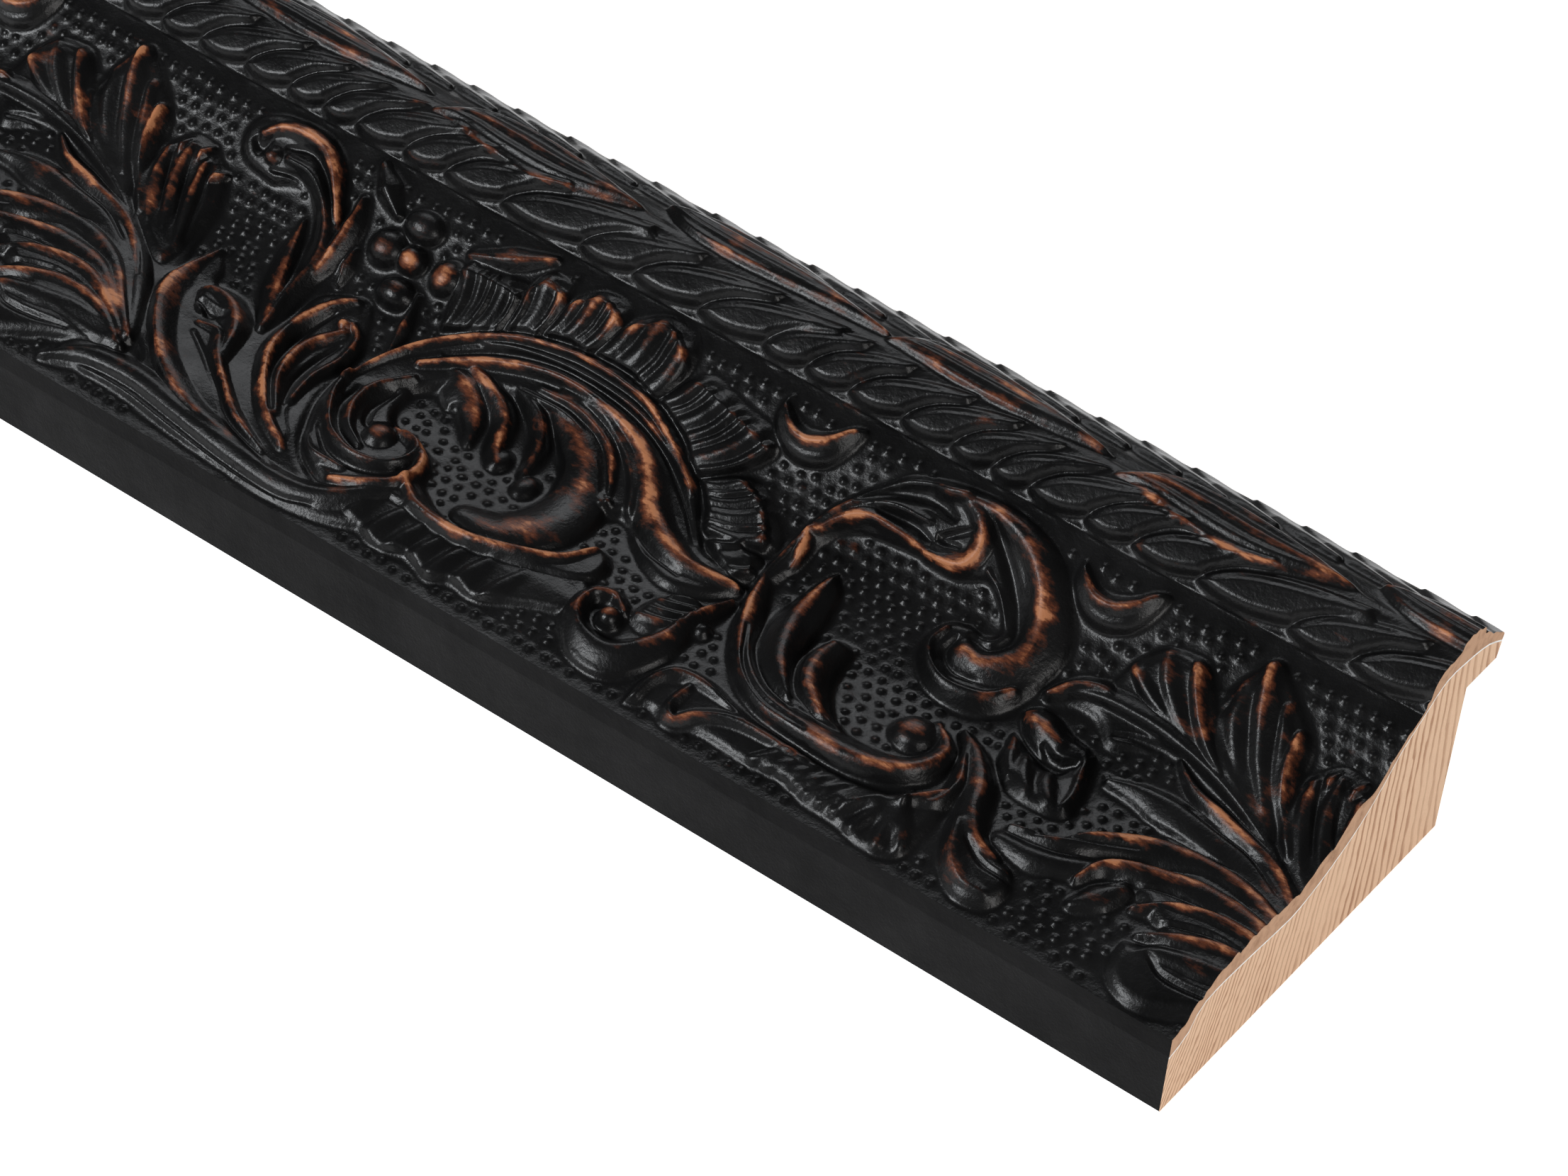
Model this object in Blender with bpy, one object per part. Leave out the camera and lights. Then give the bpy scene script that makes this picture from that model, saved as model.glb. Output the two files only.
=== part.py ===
"""A length of ornate picture frame moulding: a pine core with a pressed composition face.

Ornament is drawn in millimetres on the face unrolled flat: x runs along the moulding, 0 at the
cut end and falling away from it, and s runs over the face from its outer edge to the lip.
"""
import math

import bmesh
import bpy
import numpy as np
from mathutils import Vector

MM = 0.001

# Overall sizes, in millimetres.
LENGTH = 250.0
WIDTH = 76.2
BACK_WIDTH = 67.6
OUTER_HEIGHT = 13.5
RABBET_HEIGHT = 26.1
JOINT_GAP = 0.3
LIP_UNDER_OUT = 75.3
LIP_CORE_OUT = (75.9, 28.7)

# Section of the finished ground, from the outer edge over the cove and the torus to the lip.
GROUND = ((0, OUTER_HEIGHT), (2.5, 13.8), (7.5, 15.2), (11, 15.9), (17, 16.0), (25, 15.4), (30, 15.9),
          (35, 17.3), (40, 19.4), (44, 21.9), (46.8, 24.0), (49, 25.8), (50.7, 27.1), (52.6, 28.25),
          (54.2, 29.1), (55.7, 29.9), (56.9, 30.6), (58.4, 31.6), (60, 32.7), (62, 34.0), (64, 34.7),
          (66, 34.8), (68, 34.4), (70, 33.3), (72, 31.9), (74, 30.6), (WIDTH, 29.85))
# Section of the planed pine under the composition.
CORE_TOP = ((0, 10.0), (1.5, 10.3), (4.2, 11.5), (6.3, 14.0), (10, 14.7), (17, 14.4), (25.6, 13.7),
            (29.5, 13.8), (35.9, 15.6), (42.4, 18.6), (47.2, 22.2), (51, 26.0), (56, 29.2), (60.5, 31.9),
            (65.6, 31.9), (71.5, 30.9), LIP_CORE_OUT)

# The ornament repeats along the moulding, and so does the band of leaves on the torus.
REPEAT = 201.0
LEAF_REPEAT = 120.5

# How finely the relief is worked, and how round the putty and lacquer leave its edges.
GRID = 0.5
SOFTEN = 0.5
LINE_STEP = 0.4
SECTION_STEP = 0.25
BED_STEP = 2.2
FACE_TRIANGLES = 8600
SPANS = 12
CREASE_DEGREES = 50


def curve(points, step):
    """A smooth line through a few points, in even steps."""
    p = np.array(points, float)
    ends = np.vstack([2 * p[0] - p[1], p, 2 * p[-1] - p[-2]])
    t = np.linspace(0, 1, 16, endpoint=False)[:, None]
    runs = [0.5 * (2 * b + (c - a) * t + (2 * a - 5 * b + 4 * c - d) * t**2
                   + (3 * b - a - 3 * c + d) * t**3) for a, b, c, d in zip(ends, ends[1:], ends[2:],
            ends[3:])]
    line = np.vstack(runs + [p[-1:]])
    run = np.r_[0, np.cumsum(np.hypot(*np.diff(line, axis=0).T))]
    even = np.linspace(0, run[-1], max(3, int(run[-1] / step)))
    return np.c_[np.interp(even, run, line[:, 0]), np.interp(even, run, line[:, 1])]


def along(share, values):
    return np.interp(share, np.linspace(0, 1, len(values)), values)


def bell(rise):
    """A round crest that runs out into hollow flanks."""
    return 0.5 - 0.5 * np.cos(np.pi * rise)


class Face:
    """Height of the ornament over the ground, on an even grid of the unrolled face."""

    def __init__(self, xs, ss):
        self.xs, self.ss = xs, ss
        self.h = np.zeros((len(ss), len(xs)))
        self.repeat = REPEAT

    def windows(self, low, high):
        """The parts of the grid that a box covers, once for each repeat of the pattern."""
        first = math.floor((self.xs[0] - high[0]) / self.repeat)
        last = math.ceil((self.xs[-1] - low[0]) / self.repeat)
        for k in range(first, last + 1):
            shift = k * self.repeat
            i0, i1 = np.searchsorted(self.xs, (low[0] + shift, high[0] + shift))
            j0, j1 = np.searchsorted(self.ss, (low[1], high[1]))
            if i1 > i0 and j1 > j0:
                x, s = np.meshgrid(self.xs[i0:i1] - shift, self.ss[j0:j1])
                yield (slice(j0, j1), slice(i0, i1)), x, s

    def near(self, line, reach):
        """For the grid round a line: how far along it, and how far to its left, each point lies."""
        tangent = np.gradient(line, axis=0)
        tangent /= np.hypot(*tangent.T)[:, None]
        gap = np.hypot(*(line[1] - line[0]))
        last = len(line) - 1
        for window, x, s in self.windows(line.min(0) - reach, line.max(0) + reach):
            nearest = np.full(x.shape, 1e9)
            which = np.zeros(x.shape, int)
            for k, (px, ps) in enumerate(line):
                d = (x - px) ** 2 + (s - ps) ** 2
                closer = d < nearest
                nearest[closer] = d[closer]
                which[closer] = k
            dx, ds = x - line[which, 0], s - line[which, 1]
            tx, ts = tangent[which, 0], tangent[which, 1]
            side = tx * ds - ts * dx
            inner = (which > 0) & (which < last)
            across = np.where(inner, side, np.sign(side) * np.sqrt(nearest))
            share = np.clip((which + np.clip((tx * dx + ts * ds) / gap, -0.5, 0.5)) / last, 0, 1)
            yield window, share, across

    def stroke(self, points, widths, tops, crest=0.0, sharp=0.0):
        """A tapering form: half-widths and heights at even stations, its crest to one side.

        sharp turns the round back into a blade with hollow flanks."""
        for window, share, across in self.near(curve(points, LINE_STEP), max(widths)):
            q = np.clip(across / along(share, widths), -1, 1)
            rise = np.where(q > crest, (1 - q) / (1 - crest), (1 + q) / (1 + crest))
            back = (1 - sharp) * np.sin(0.5 * np.pi * rise) ** 0.8 + sharp * bell(rise)
            wall = np.clip(7 * rise, 0, 1)
            self.h[window] = np.maximum(self.h[window], along(share, tops) * (0.3 * wall + 0.7 * back))

    def body(self, outline, top, edge=1.6):
        """A mass with a closed outline: flat on top, with rounded shoulders this wide."""
        rim = curve([*outline, outline[0]], LINE_STEP)
        for window, x, s in self.windows(rim.min(0), rim.max(0)):
            nearest = np.full(x.shape, 1e9)
            inside = np.zeros(x.shape, bool)
            for (xa, sa), (xb, sb) in zip(rim, rim[1:]):
                nearest = np.minimum(nearest, (x - xa) ** 2 + (s - sa) ** 2)
                inside ^= ((sa > s) != (sb > s)) & (x < (xb - xa) * (s - sa) / (sb - sa + 1e-12) + xa)
            depth = np.where(inside, np.sqrt(nearest), 0)
            shoulder = np.sin(0.5 * np.pi * np.clip(depth / edge, 0, 1)) ** 0.8
            self.h[window] = np.maximum(self.h[window], top * shoulder)

    def ridge(self, points, widths, rises, crest=0.0, full=0.3):
        """A crest raised on the masses it crosses, its flanks hollow or, with full, rounded."""
        for window, share, across in self.near(curve(points, LINE_STEP), max(widths)):
            q = np.clip(across / along(share, widths), -1, 1)
            flank = np.where(q > crest, (1 - q) / (1 - crest), (1 + q) / (1 + crest))
            on_mass = np.clip(self.h[window] / 0.8, 0, 1)
            profile = (1 - full) * bell(flank) + full * np.sin(0.5 * np.pi * flank)
            self.h[window] += along(share, rises) * profile * on_mass

    def groove(self, points, widths, depths):
        """A V cut into what is there, never below the ground."""
        for window, share, across in self.near(curve(points, LINE_STEP), max(widths)):
            q = np.clip(np.abs(across) / along(share, widths), 0, 1)
            cut = along(share, depths) * (1 - q) ** 1.2
            self.h[window] = np.maximum(self.h[window] - cut, np.minimum(self.h[window], 0.1))

    def reeds(self, foot, rim, count, rise, bend=0.0):
        """Round reeds side by side from a foot line to a rim line, as uneven as hand work."""
        foot, rim = np.array(foot, float), np.array(rim, float)
        ends = np.arange(count + 1)
        edges = (ends + 0.16 * np.sin(2.1 * ends + count) * (ends % count > 0)) / count
        for k, (low, high) in enumerate(zip(edges, edges[1:])):
            u = 0.5 * (low + high)
            a, b = (np.array([along(u, line[:, 0]), along(u, line[:, 1])]) for line in (foot, rim))
            half = [0.52 * (high - low) * np.hypot(*(line[-1] - line[0])) for line in (foot, rim)]
            middle = 0.5 * (a + b) + bend * np.array([b[1] - a[1], a[0] - b[0]])
            uneven = rise * (1 + 0.35 * math.sin(2.4 * k + 3 * count))
            self.ridge([a, middle, b], [half[0], 0.5 * sum(half), half[1]], [0.6 * rise, uneven, rise],
                       full=0.6)

    def dome(self, x0, s0, rx, rs, top):
        """A berry or a volute's eye."""
        for window, x, s in self.windows((x0 - rx, s0 - rs), (x0 + rx, s0 + rs)):
            q = np.clip(1 - ((x - x0) / rx) ** 2 - ((s - s0) / rs) ** 2, 0, 1)
            self.h[window] = np.maximum(self.h[window], top * np.sqrt(q))

    def soften(self, sigma):
        """Rounds every edge a little, as pressed composition has it."""
        for axis, values in ((1, self.xs), (0, self.ss)):
            step = values[1] - values[0]
            n = math.ceil(2.5 * sigma / step)
            weight = np.exp(-0.5 * (np.arange(-n, n + 1) * step / sigma) ** 2)
            pad = [(n, n) if a == axis else (0, 0) for a in (0, 1)]
            wide = np.pad(self.h, pad, mode="edge")
            size = self.h.shape[axis]
            parts = [w * np.take(wide, range(k, k + size), axis) for k,
                     w in enumerate(weight / weight.sum())]
            self.h = sum(parts)


def main_scroll(face):
    """The broad scroll."""
    face.body([(-160, 24), (-159.4, 28.7), (-157.6, 33.5), (-153, 39.4), (-147, 43.5), (-141, 46.2),
               (-135, 47.6), (-129, 48.2), (-123, 48), (-117, 46.6), (-111.5, 43.6), (-106, 39.6),
               (-101.5, 34), (-98, 30.6), (-90, 28.6), (-92, 24.5), (-97.5, 21.6), (-102.5, 22.6),
               (-107, 25.6), (-111, 29), (-115, 27), (-120, 31), (-125, 35.6), (-132, 37), (-140, 36.4),
               (-147, 32.6), (-151, 28), (-153, 23)], 1.5, 1.5)
    face.ridge([(-159, 24), (-158, 29.5), (-155, 35.3), (-150, 40.3), (-145, 43.7), (-140, 45.6),
                (-135, 46.7), (-129.7, 47.2), (-120, 46.2), (-113, 43), (-106, 38.3)],
               [0.8, 1.2, 1.2, 1.1, 1.1, 0.9], [0.9, 1.3, 1.4, 1.4, 1.3, 0.8])
    face.ridge([(-146, 41.8), (-140, 43.9), (-130, 44.9), (-120, 44.2), (-113, 41.6), (-105, 37.2)],
               [0.6, 0.9, 0.9, 0.7], [0.5, 0.9, 0.9, 0.5])
    face.ridge([(-152, 34), (-145, 38.7), (-137, 42), (-129.7, 43), (-120, 41.3), (-114, 38.4),
                (-110, 33.8), (-105, 29.3), (-98.3, 26.4), (-90, 27.7)], [1.0, 1.5, 1.6, 1.8, 3.2, 3.0,
            1.0], [0.9, 1.4, 1.5, 1.7, 2.1, 1.9, 0.6])
    face.ridge([(-131, 41.2), (-124, 40.8), (-117, 37.6), (-112.6, 33), (-110, 28)], [0.8, 1.1, 1.1, 0.9],
               [0.6, 1.1, 1.1, 0.7])
    face.ridge([(-134, 39.9), (-127, 39.9), (-120, 37.3), (-116.4, 33), (-114.6, 28.6)],
               [0.8, 1.2, 1.2, 1.0], [0.6, 1.2, 1.3, 0.9])
    face.ridge([(-136, 38.2), (-128, 38), (-121, 35.2), (-117.4, 31), (-115.4, 28)], [0.7, 1.1, 1.1, 0.8],
               [0.5, 1.1, 1.1, 0.7])
    face.groove([(-150, 37.4), (-143, 41.6), (-134, 44), (-122, 43.6), (-113, 40.6), (-105, 35.2),
                 (-100, 30.5)], [0.6, 0.8, 0.9, 0.9, 0.7], [0.6, 1.0, 1.1, 1.1, 0.5])
    face.groove([(-124, 37), (-118, 33.4), (-113, 27.4)], [0.6, 0.7, 0.6], [0.5, 0.9, 0.7])
    face.groove([(-109.4, 28.4), (-104, 25.4), (-98, 24)], [0.5, 0.9, 0.5], [0.5, 0.9, 0.5])
    face.dome(-114.2, 29.2, 1.1, 1.1, 2.5)


def left_volute(face):
    """The coiled start of the broad scroll."""
    face.body([(-160, 24), (-158.9, 19), (-156.5, 14.4), (-153.5, 10.4), (-149, 7.6), (-144, 6.9),
               (-140, 8.6), (-137, 11.6), (-136.2, 15), (-137.6, 18.6), (-140.4, 20.9), (-144, 22),
               (-147.6, 23), (-149.6, 26), (-150, 30), (-153, 33), (-157, 31)], 1.3, 1.6)
    face.ridge([(-159, 26), (-158.2, 22.3), (-156, 18.7), (-152, 14.6), (-147, 12.8), (-142.3, 14),
                (-140.4, 17), (-141.6, 19.8), (-146, 21)], [1.1, 1.3, 1.3, 1.2, 0.8],
               [1.2, 1.5, 1.6, 1.6, 1.0])
    face.ridge([(-151, 31.3), (-154, 27), (-154.2, 22), (-151.6, 17.4), (-147.5, 15)], [1.0, 1.3, 1.2, 0.7],
               [1.0, 1.5, 1.3, 0.7])
    face.ridge([(-144, 21.2), (-140.3, 19.9), (-137.8, 16.8), (-138.3, 12.6), (-142, 10), (-146.7, 8.2)],
               [1.0, 1.6, 1.7, 1.5, 0.8], [1.0, 1.6, 1.7, 1.3, 0.7])
    face.ridge([(-155.5, 12.6), (-152, 10.2), (-146.3, 10.4)], [0.8, 1.0, 0.6], [0.8, 1.1, 0.6])
    face.groove([(-156.2, 25), (-155.6, 20), (-152.4, 15.8), (-147.6, 13.9)], [0.7, 0.9, 0.9, 0.6],
                [0.8, 1.2, 1.1, 0.6])
    face.groove([(-154.5, 14.6), (-150, 11.6), (-145, 11.6), (-141, 13.6), (-138.9, 16.6)],
                [0.7, 0.9, 0.8, 0.5], [0.8, 1.2, 1.0, 0.6])
    face.groove([(-151.6, 28), (-152, 23), (-149.8, 19.6), (-146.6, 22.8)], [0.7, 1.0, 0.8, 0.6],
                [0.8, 1.3, 1.0, 0.6])
    face.dome(-146.7, 18.4, 2.8, 2.7, 3.1)


def inner_leaves(face):
    """Leaves curling into the hollow of the broad scroll."""
    face.stroke([(-149, 35.6), (-144.6, 34), (-140.4, 31), (-137.6, 26.8)], [2.0, 3.4, 2.8, 0.8],
                [1.4, 2.2, 2.1, 1.0], crest=0.4, sharp=0.5)
    face.stroke([(-147, 38), (-140.6, 35.8), (-136, 33), (-134, 28.6), (-132, 26)],
                [1.0, 1.9, 2.1, 1.8, 1.4], [1.5, 2.5, 2.5, 2.0, 1.4], crest=0.3, sharp=0.5)
    face.stroke([(-138, 38.4), (-132.4, 36.2), (-129, 32.3), (-127.5, 26.5)], [1.0, 1.7, 1.7, 0.8],
                [1.6, 2.3, 2.2, 1.0], crest=0.3, sharp=0.6)
    face.stroke([(-131, 38.4), (-123.5, 35), (-118.4, 28), (-118, 20.6), (-122, 15.4), (-128, 14.6)],
                [1.2, 3.4, 4.4, 4.9, 4.4, 2.0], [1.8, 2.6, 2.6, 2.2, 1.7, 0.9], crest=0.1, sharp=0.0)
    face.groove([(-128.5, 34.5), (-124, 30.5), (-122.6, 26), (-123.4, 21.6)], [0.6, 1.1, 1.0, 0.5],
                [0.8, 1.5, 1.3, 0.6])
    face.groove([(-143, 30.6), (-139.6, 27.8)], [1.2, 0.8], [1.4, 0.8])
    face.dome(-125.6, 25, 1.9, 2.6, 1.4)
    face.dome(-131.8, 27, 1.8, 2.4, 1.4)


LOBES = (([(-153.6, 40.4), (-150, 42), (-145.2, 44.6)], [(-156, 50.4), (-150, 51.2), (-145, 50.6)], 5),
         ([(-145, 44.6), (-142, 46), (-139.4, 46.8)], [(-145, 51.6), (-142.6, 54.6), (-138.4, 53.2)], 3),
         ([(-139.4, 46.8), (-135, 48), (-130.8, 48.2)], [(-138, 53.2), (-133.4, 56), (-129, 54)], 4),
         ([(-130.8, 48.2), (-124, 48.2), (-118.4, 47)], [(-128.4, 54), (-122.6, 57.2), (-116.8, 53.6)], 4),
         ([(-118.4, 47), (-111.6, 44), (-106, 40.4)], [(-114.6, 52.4), (-107, 51.2), (-98.6, 48.6)], 7),
         ([(-106, 40), (-102.6, 36.6), (-99.6, 33)], [(-101, 43.2), (-95, 41), (-91.2, 35.4)], 6),
         ([(-99.4, 32.4), (-96, 30.2), (-92.6, 28.8)], [(-95.6, 34.2), (-91.6, 33.2), (-90, 30.4)], 3))


def shell_crest(face):
    """The fluted shell."""
    for foot, rim, count in LOBES:
        out = np.subtract(rim[1], foot[1]) / np.hypot(*np.subtract(rim[1], foot[1]))
        skirt = [tuple(np.add(p, 1.5 * out)) for p in rim]
        face.body([*foot, *skirt[::-1]], 0.8, 1.4)
        face.body([*foot, *rim[::-1]], 1.5, 1.1)
    for foot, rim, count in LOBES:
        face.reeds(foot, rim, count, 0.6, bend=0.08)
        face.ridge([np.add(p, np.multiply(0.06, np.subtract(q, p))) for p, q in zip(rim, foot)],
                   [0.5, 0.9, 0.6], [0.2, 0.35, 0.3])


def lower_rail(face):
    """The rail and frill below the hollow."""
    face.body([(-140, 10), (-134, 9.6), (-126, 9), (-118, 10.2), (-112, 12), (-106.4, 14.6), (-106, 19),
               (-109, 21.4), (-112, 17.6), (-117, 14), (-124, 11.8), (-131, 12.4), (-137, 15)], 1.6, 1.2)
    face.ridge([(-138, 13.6), (-133.3, 11), (-126, 10.4), (-118.3, 12.2), (-111.7, 15.4), (-109.3, 20)],
               [1.0, 1.3, 1.6, 1.0], [0.9, 1.2, 1.2, 0.7])
    face.body([(-145, 5), (-141, 10), (-133, 10.4), (-125, 9.8), (-118, 11), (-112, 13), (-106, 15),
               (-105.4, 9.4), (-110, 7), (-114.4, 5), (-118, 3.6), (-121.6, 4.2), (-125, 2.7),
               (-129.6, 4.2), (-134.4, 3), (-138.6, 4.2)], 1.0, 1.2)
    for k, x in enumerate((-139.6, -135, -131, -127.4, -123.6, -119.6, -114.6)):
        drop = 1.3 * abs(k - 3) / 4
        face.ridge([(x + 0.8, 9.4 + drop), (x - 0.2, 6.2 + drop), (x - 1.0, 3.4 + drop)], [1.2, 1.9, 2.0],
                   [0.25, 0.6, 0.55], crest=-0.3)


def low_curl(face):
    """The small scroll under the junction."""
    face.stroke([(-98.6, 13.4), (-101.7, 15.1), (-104.4, 13.6), (-104.6, 10), (-101.6, 7), (-97, 6),
                 (-93.4, 8), (-91, 12), (-90.6, 17.6), (-89.2, 25)], [0.8, 1.3, 1.4, 2.0, 2.8, 3.0, 2.6,
            1.6, 1.3, 0.8], [1.6, 2.1, 2.2, 2.2, 2.1, 2.1, 2.2, 2.3, 2.3, 1.6], crest=0.35, sharp=0.5)
    face.dome(-99.7, 11.3, 1.9, 1.8, 2.5)
    face.body([(-98, 13), (-93, 12), (-90.6, 15), (-90.4, 20), (-92, 22), (-95.4, 21.4), (-97.8, 18)], 1.3,
              1.6)
    for k in range(4):
        face.ridge([(-97.2 + 0.4 * k, 14 + 2 * k), (-94, 14.6 + 2 * k), (-91.4, 16 + 2 * k)],
                   [0.7, 1.0, 0.7], [0.5, 0.7, 0.4])
    face.dome(-88.7, 17.7, 1.3, 1.4, 1.5)
    face.stroke([(-105.3, 8), (-100, 4.6), (-95, 4.4), (-91.8, 7.4)], [0.7, 1.2, 1.2, 0.8],
                [0.7, 1.1, 1.1, 0.7])


def crescents(face):
    """Crescents beside the scrolls."""
    for x in (-95.4, -44.9):
        face.body([(x - 6.4, 56.6), (x - 6, 52.6), (x - 3, 49.6), (x + 1, 48.8), (x + 4.6, 50.4),
                   (x + 6.6, 54), (x + 7, 57.4), (x + 4.6, 56.6), (x + 2.4, 54.6), (x - 1, 53.4),
                   (x - 4, 54.6)], 1.7, 1.9)
        face.ridge([(x - 5.4, 55.2), (x - 2.6, 53), (x + 0.4, 52.4), (x + 3.4, 53.8), (x + 5.6, 56.6)],
                   [0.8, 1.5, 1.7, 0.8], [0.6, 1.2, 1.2, 0.6])


def g_scroll(face):
    """The G scroll."""
    face.body([(-89.4, 31), (-89, 38), (-87.7, 44), (-85, 48.5), (-80, 54.3), (-75, 56.3), (-70, 57.4),
               (-65, 57.7), (-60, 57.1), (-55, 55.4), (-51, 52.4), (-48, 48), (-46, 43.3), (-46.4, 39),
               (-47.6, 34.7), (-49.5, 31.2), (-53, 29), (-57, 28.6), (-61, 30), (-64, 33.3), (-64.6, 36.5),
               (-63, 39.6), (-60, 40.7), (-57.6, 40.2), (-56, 42), (-58.3, 45.2), (-61.6, 47.2),
               (-66, 45.4), (-72, 45.8), (-79, 45), (-83.4, 43.4), (-85.4, 39.6), (-86, 35), (-87.4, 31)],
              1.5, 1.7)
    face.ridge([(-89, 31.6), (-88.4, 38), (-87, 43.4), (-84, 48.4), (-80, 52.8), (-75, 55), (-70, 56)],
               [0.7, 1.0, 1.2, 1.3], [0.9, 1.1, 1.2, 1.2])
    face.ridge([(-74, 54.4), (-70, 55.7), (-65, 56), (-60, 55), (-56, 52.8), (-53, 49.6), (-51, 45.7),
                (-50.3, 41.6), (-51.6, 38.2), (-55, 35.9), (-58, 36.4)], [1.0, 1.8, 2.4, 2.8, 3.0, 3.6,
            2.2], [1.0, 1.4, 1.5, 1.6, 1.7, 1.9, 1.2], crest=-0.1)
    face.ridge([(-62.6, 38.4), (-63.2, 35), (-61, 32), (-57, 30.4), (-52, 31.6), (-49, 34.6)],
               [0.8, 1.4, 1.6, 1.2], [0.8, 1.2, 1.2, 0.8], crest=0.3)
    face.groove([(-60.4, 37.8), (-60.6, 35), (-58, 33.2), (-54.4, 33.4)], [0.6, 1.0, 0.9, 0.6],
                [0.8, 1.2, 1.0, 0.4])
    face.groove([(-65, 54.6), (-61.7, 52), (-58.3, 48.8), (-55.4, 45.2), (-53.6, 41.6), (-55.6, 38.8),
                 (-58.6, 39)], [0.8, 1.4, 1.7, 1.5, 1.0], [0.7, 1.1, 1.3, 1.3, 0.9])
    face.ridge([(-62, 48.4), (-58.8, 46), (-56.4, 42.6), (-57.8, 40.6)], [0.6, 0.9, 0.7], [0.5, 0.9, 0.5])
    face.stroke([(-71, 55.4), (-66.8, 54), (-64.8, 50.8), (-66, 47.6), (-71, 46.4)],
                [1.0, 1.9, 2.1, 1.9, 0.8], [2.4, 3.0, 3.1, 2.8, 1.8], crest=0.2, sharp=0.3)
    face.groove([(-66.6, 52.6), (-68.4, 51.2), (-70.4, 49.2), (-67.6, 49.4)], [0.6, 0.8, 0.8, 0.5],
                [0.9, 1.4, 1.3, 0.7])
    face.groove([(-84, 48.4), (-80.4, 51.9), (-75, 53.6), (-70.4, 52.6)], [0.7, 1.9, 2.1, 1.0],
                [1.0, 2.6, 2.8, 1.0])
    face.ridge([(-84, 47.6), (-79, 50.2), (-73, 50.6)], [0.6, 1.2, 0.7], [0.6, 1.0, 0.6])
    face.groove([(-80, 48.4), (-75, 49), (-71.6, 48.2)], [0.6, 1.0, 0.7], [0.6, 1.2, 0.8])
    face.ridge([(-86.6, 41.6), (-84.4, 45), (-81, 47.2), (-76, 47.2), (-70, 46.2)], [0.9, 1.6, 1.4, 0.8],
               [0.9, 1.4, 1.1, 0.6])
    face.ridge([(-87.4, 41), (-86.4, 37.6), (-85.8, 34.6)], [1.0, 1.5, 1.0], [0.8, 1.2, 0.7])


def low_volute(face):
    """The leafy low volute."""
    face.stroke([(-88.8, 34), (-87.4, 28.6), (-84.6, 22.4), (-80, 16.4), (-74, 12.6), (-65, 11.8),
                 (-57, 12.2), (-51.6, 14.8), (-50.2, 19.6), (-53.4, 23)], [0.8, 1.7, 2.2, 2.4, 2.2, 2.5,
            2.7, 2.5, 2.2, 1.4], [1.4, 2.0, 2.2, 2.3, 2.4, 2.6, 2.8, 2.8, 2.8, 2.2], crest=-0.35,
                sharp=0.45)
    face.body([(-80.7, 38), (-78.2, 35.4), (-77, 31), (-76.4, 26), (-74.6, 20.4), (-71, 15.6), (-67, 13.2),
               (-72, 12.8), (-77, 15.4), (-81, 20), (-83.4, 26), (-82.8, 32)], 1.9, 2.2)
    face.ridge([(-80.9, 36.4), (-80.6, 31), (-79.8, 25.6), (-77, 19.6), (-72, 14.6)],
               [1.0, 2.0, 2.1, 1.8, 1.0], [0.4, 0.8, 0.9, 0.8, 0.4], full=0.4)
    face.body([(-75.2, 26.4), (-74.4, 28.3), (-72.4, 28.9), (-70.5, 27.4), (-70, 23.6), (-68.4, 19.4),
               (-65, 15.8), (-61, 13.6), (-66, 12.6), (-71, 14), (-74.2, 18), (-75.6, 22.6)], 2.3, 2.2)
    face.ridge([(-73.4, 27), (-73.2, 22.8), (-71.2, 18), (-66.8, 14.6)], [1.2, 2.0, 1.9, 1.0],
               [0.4, 0.8, 0.8, 0.4], full=0.4)
    face.groove([(-83.6, 25.4), (-81.6, 20), (-77, 15.4), (-70, 12.9)], [0.5, 0.7, 0.7, 0.4],
                [0.7, 1.1, 1.1, 0.5])
    face.groove([(-75.8, 25), (-75, 20.6), (-71.6, 16), (-66, 13.4)], [0.6, 0.8, 0.8, 0.4],
                [0.9, 1.2, 1.1, 0.5])
    face.groove([(-84.6, 22), (-80, 15.4), (-74, 11.8), (-66, 10.8)], [0.4, 0.6, 0.6, 0.4],
                [0.4, 0.8, 0.8, 0.4])
    face.dome(-55.2, 20.8, 3.6, 3.4, 2.7)
    face.groove([(-58, 17.8), (-55, 16.8), (-52.2, 18.6), (-51.8, 21.4)], [0.5, 0.7, 0.7, 0.4],
                [0.6, 1.1, 1.0, 0.5])


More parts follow.
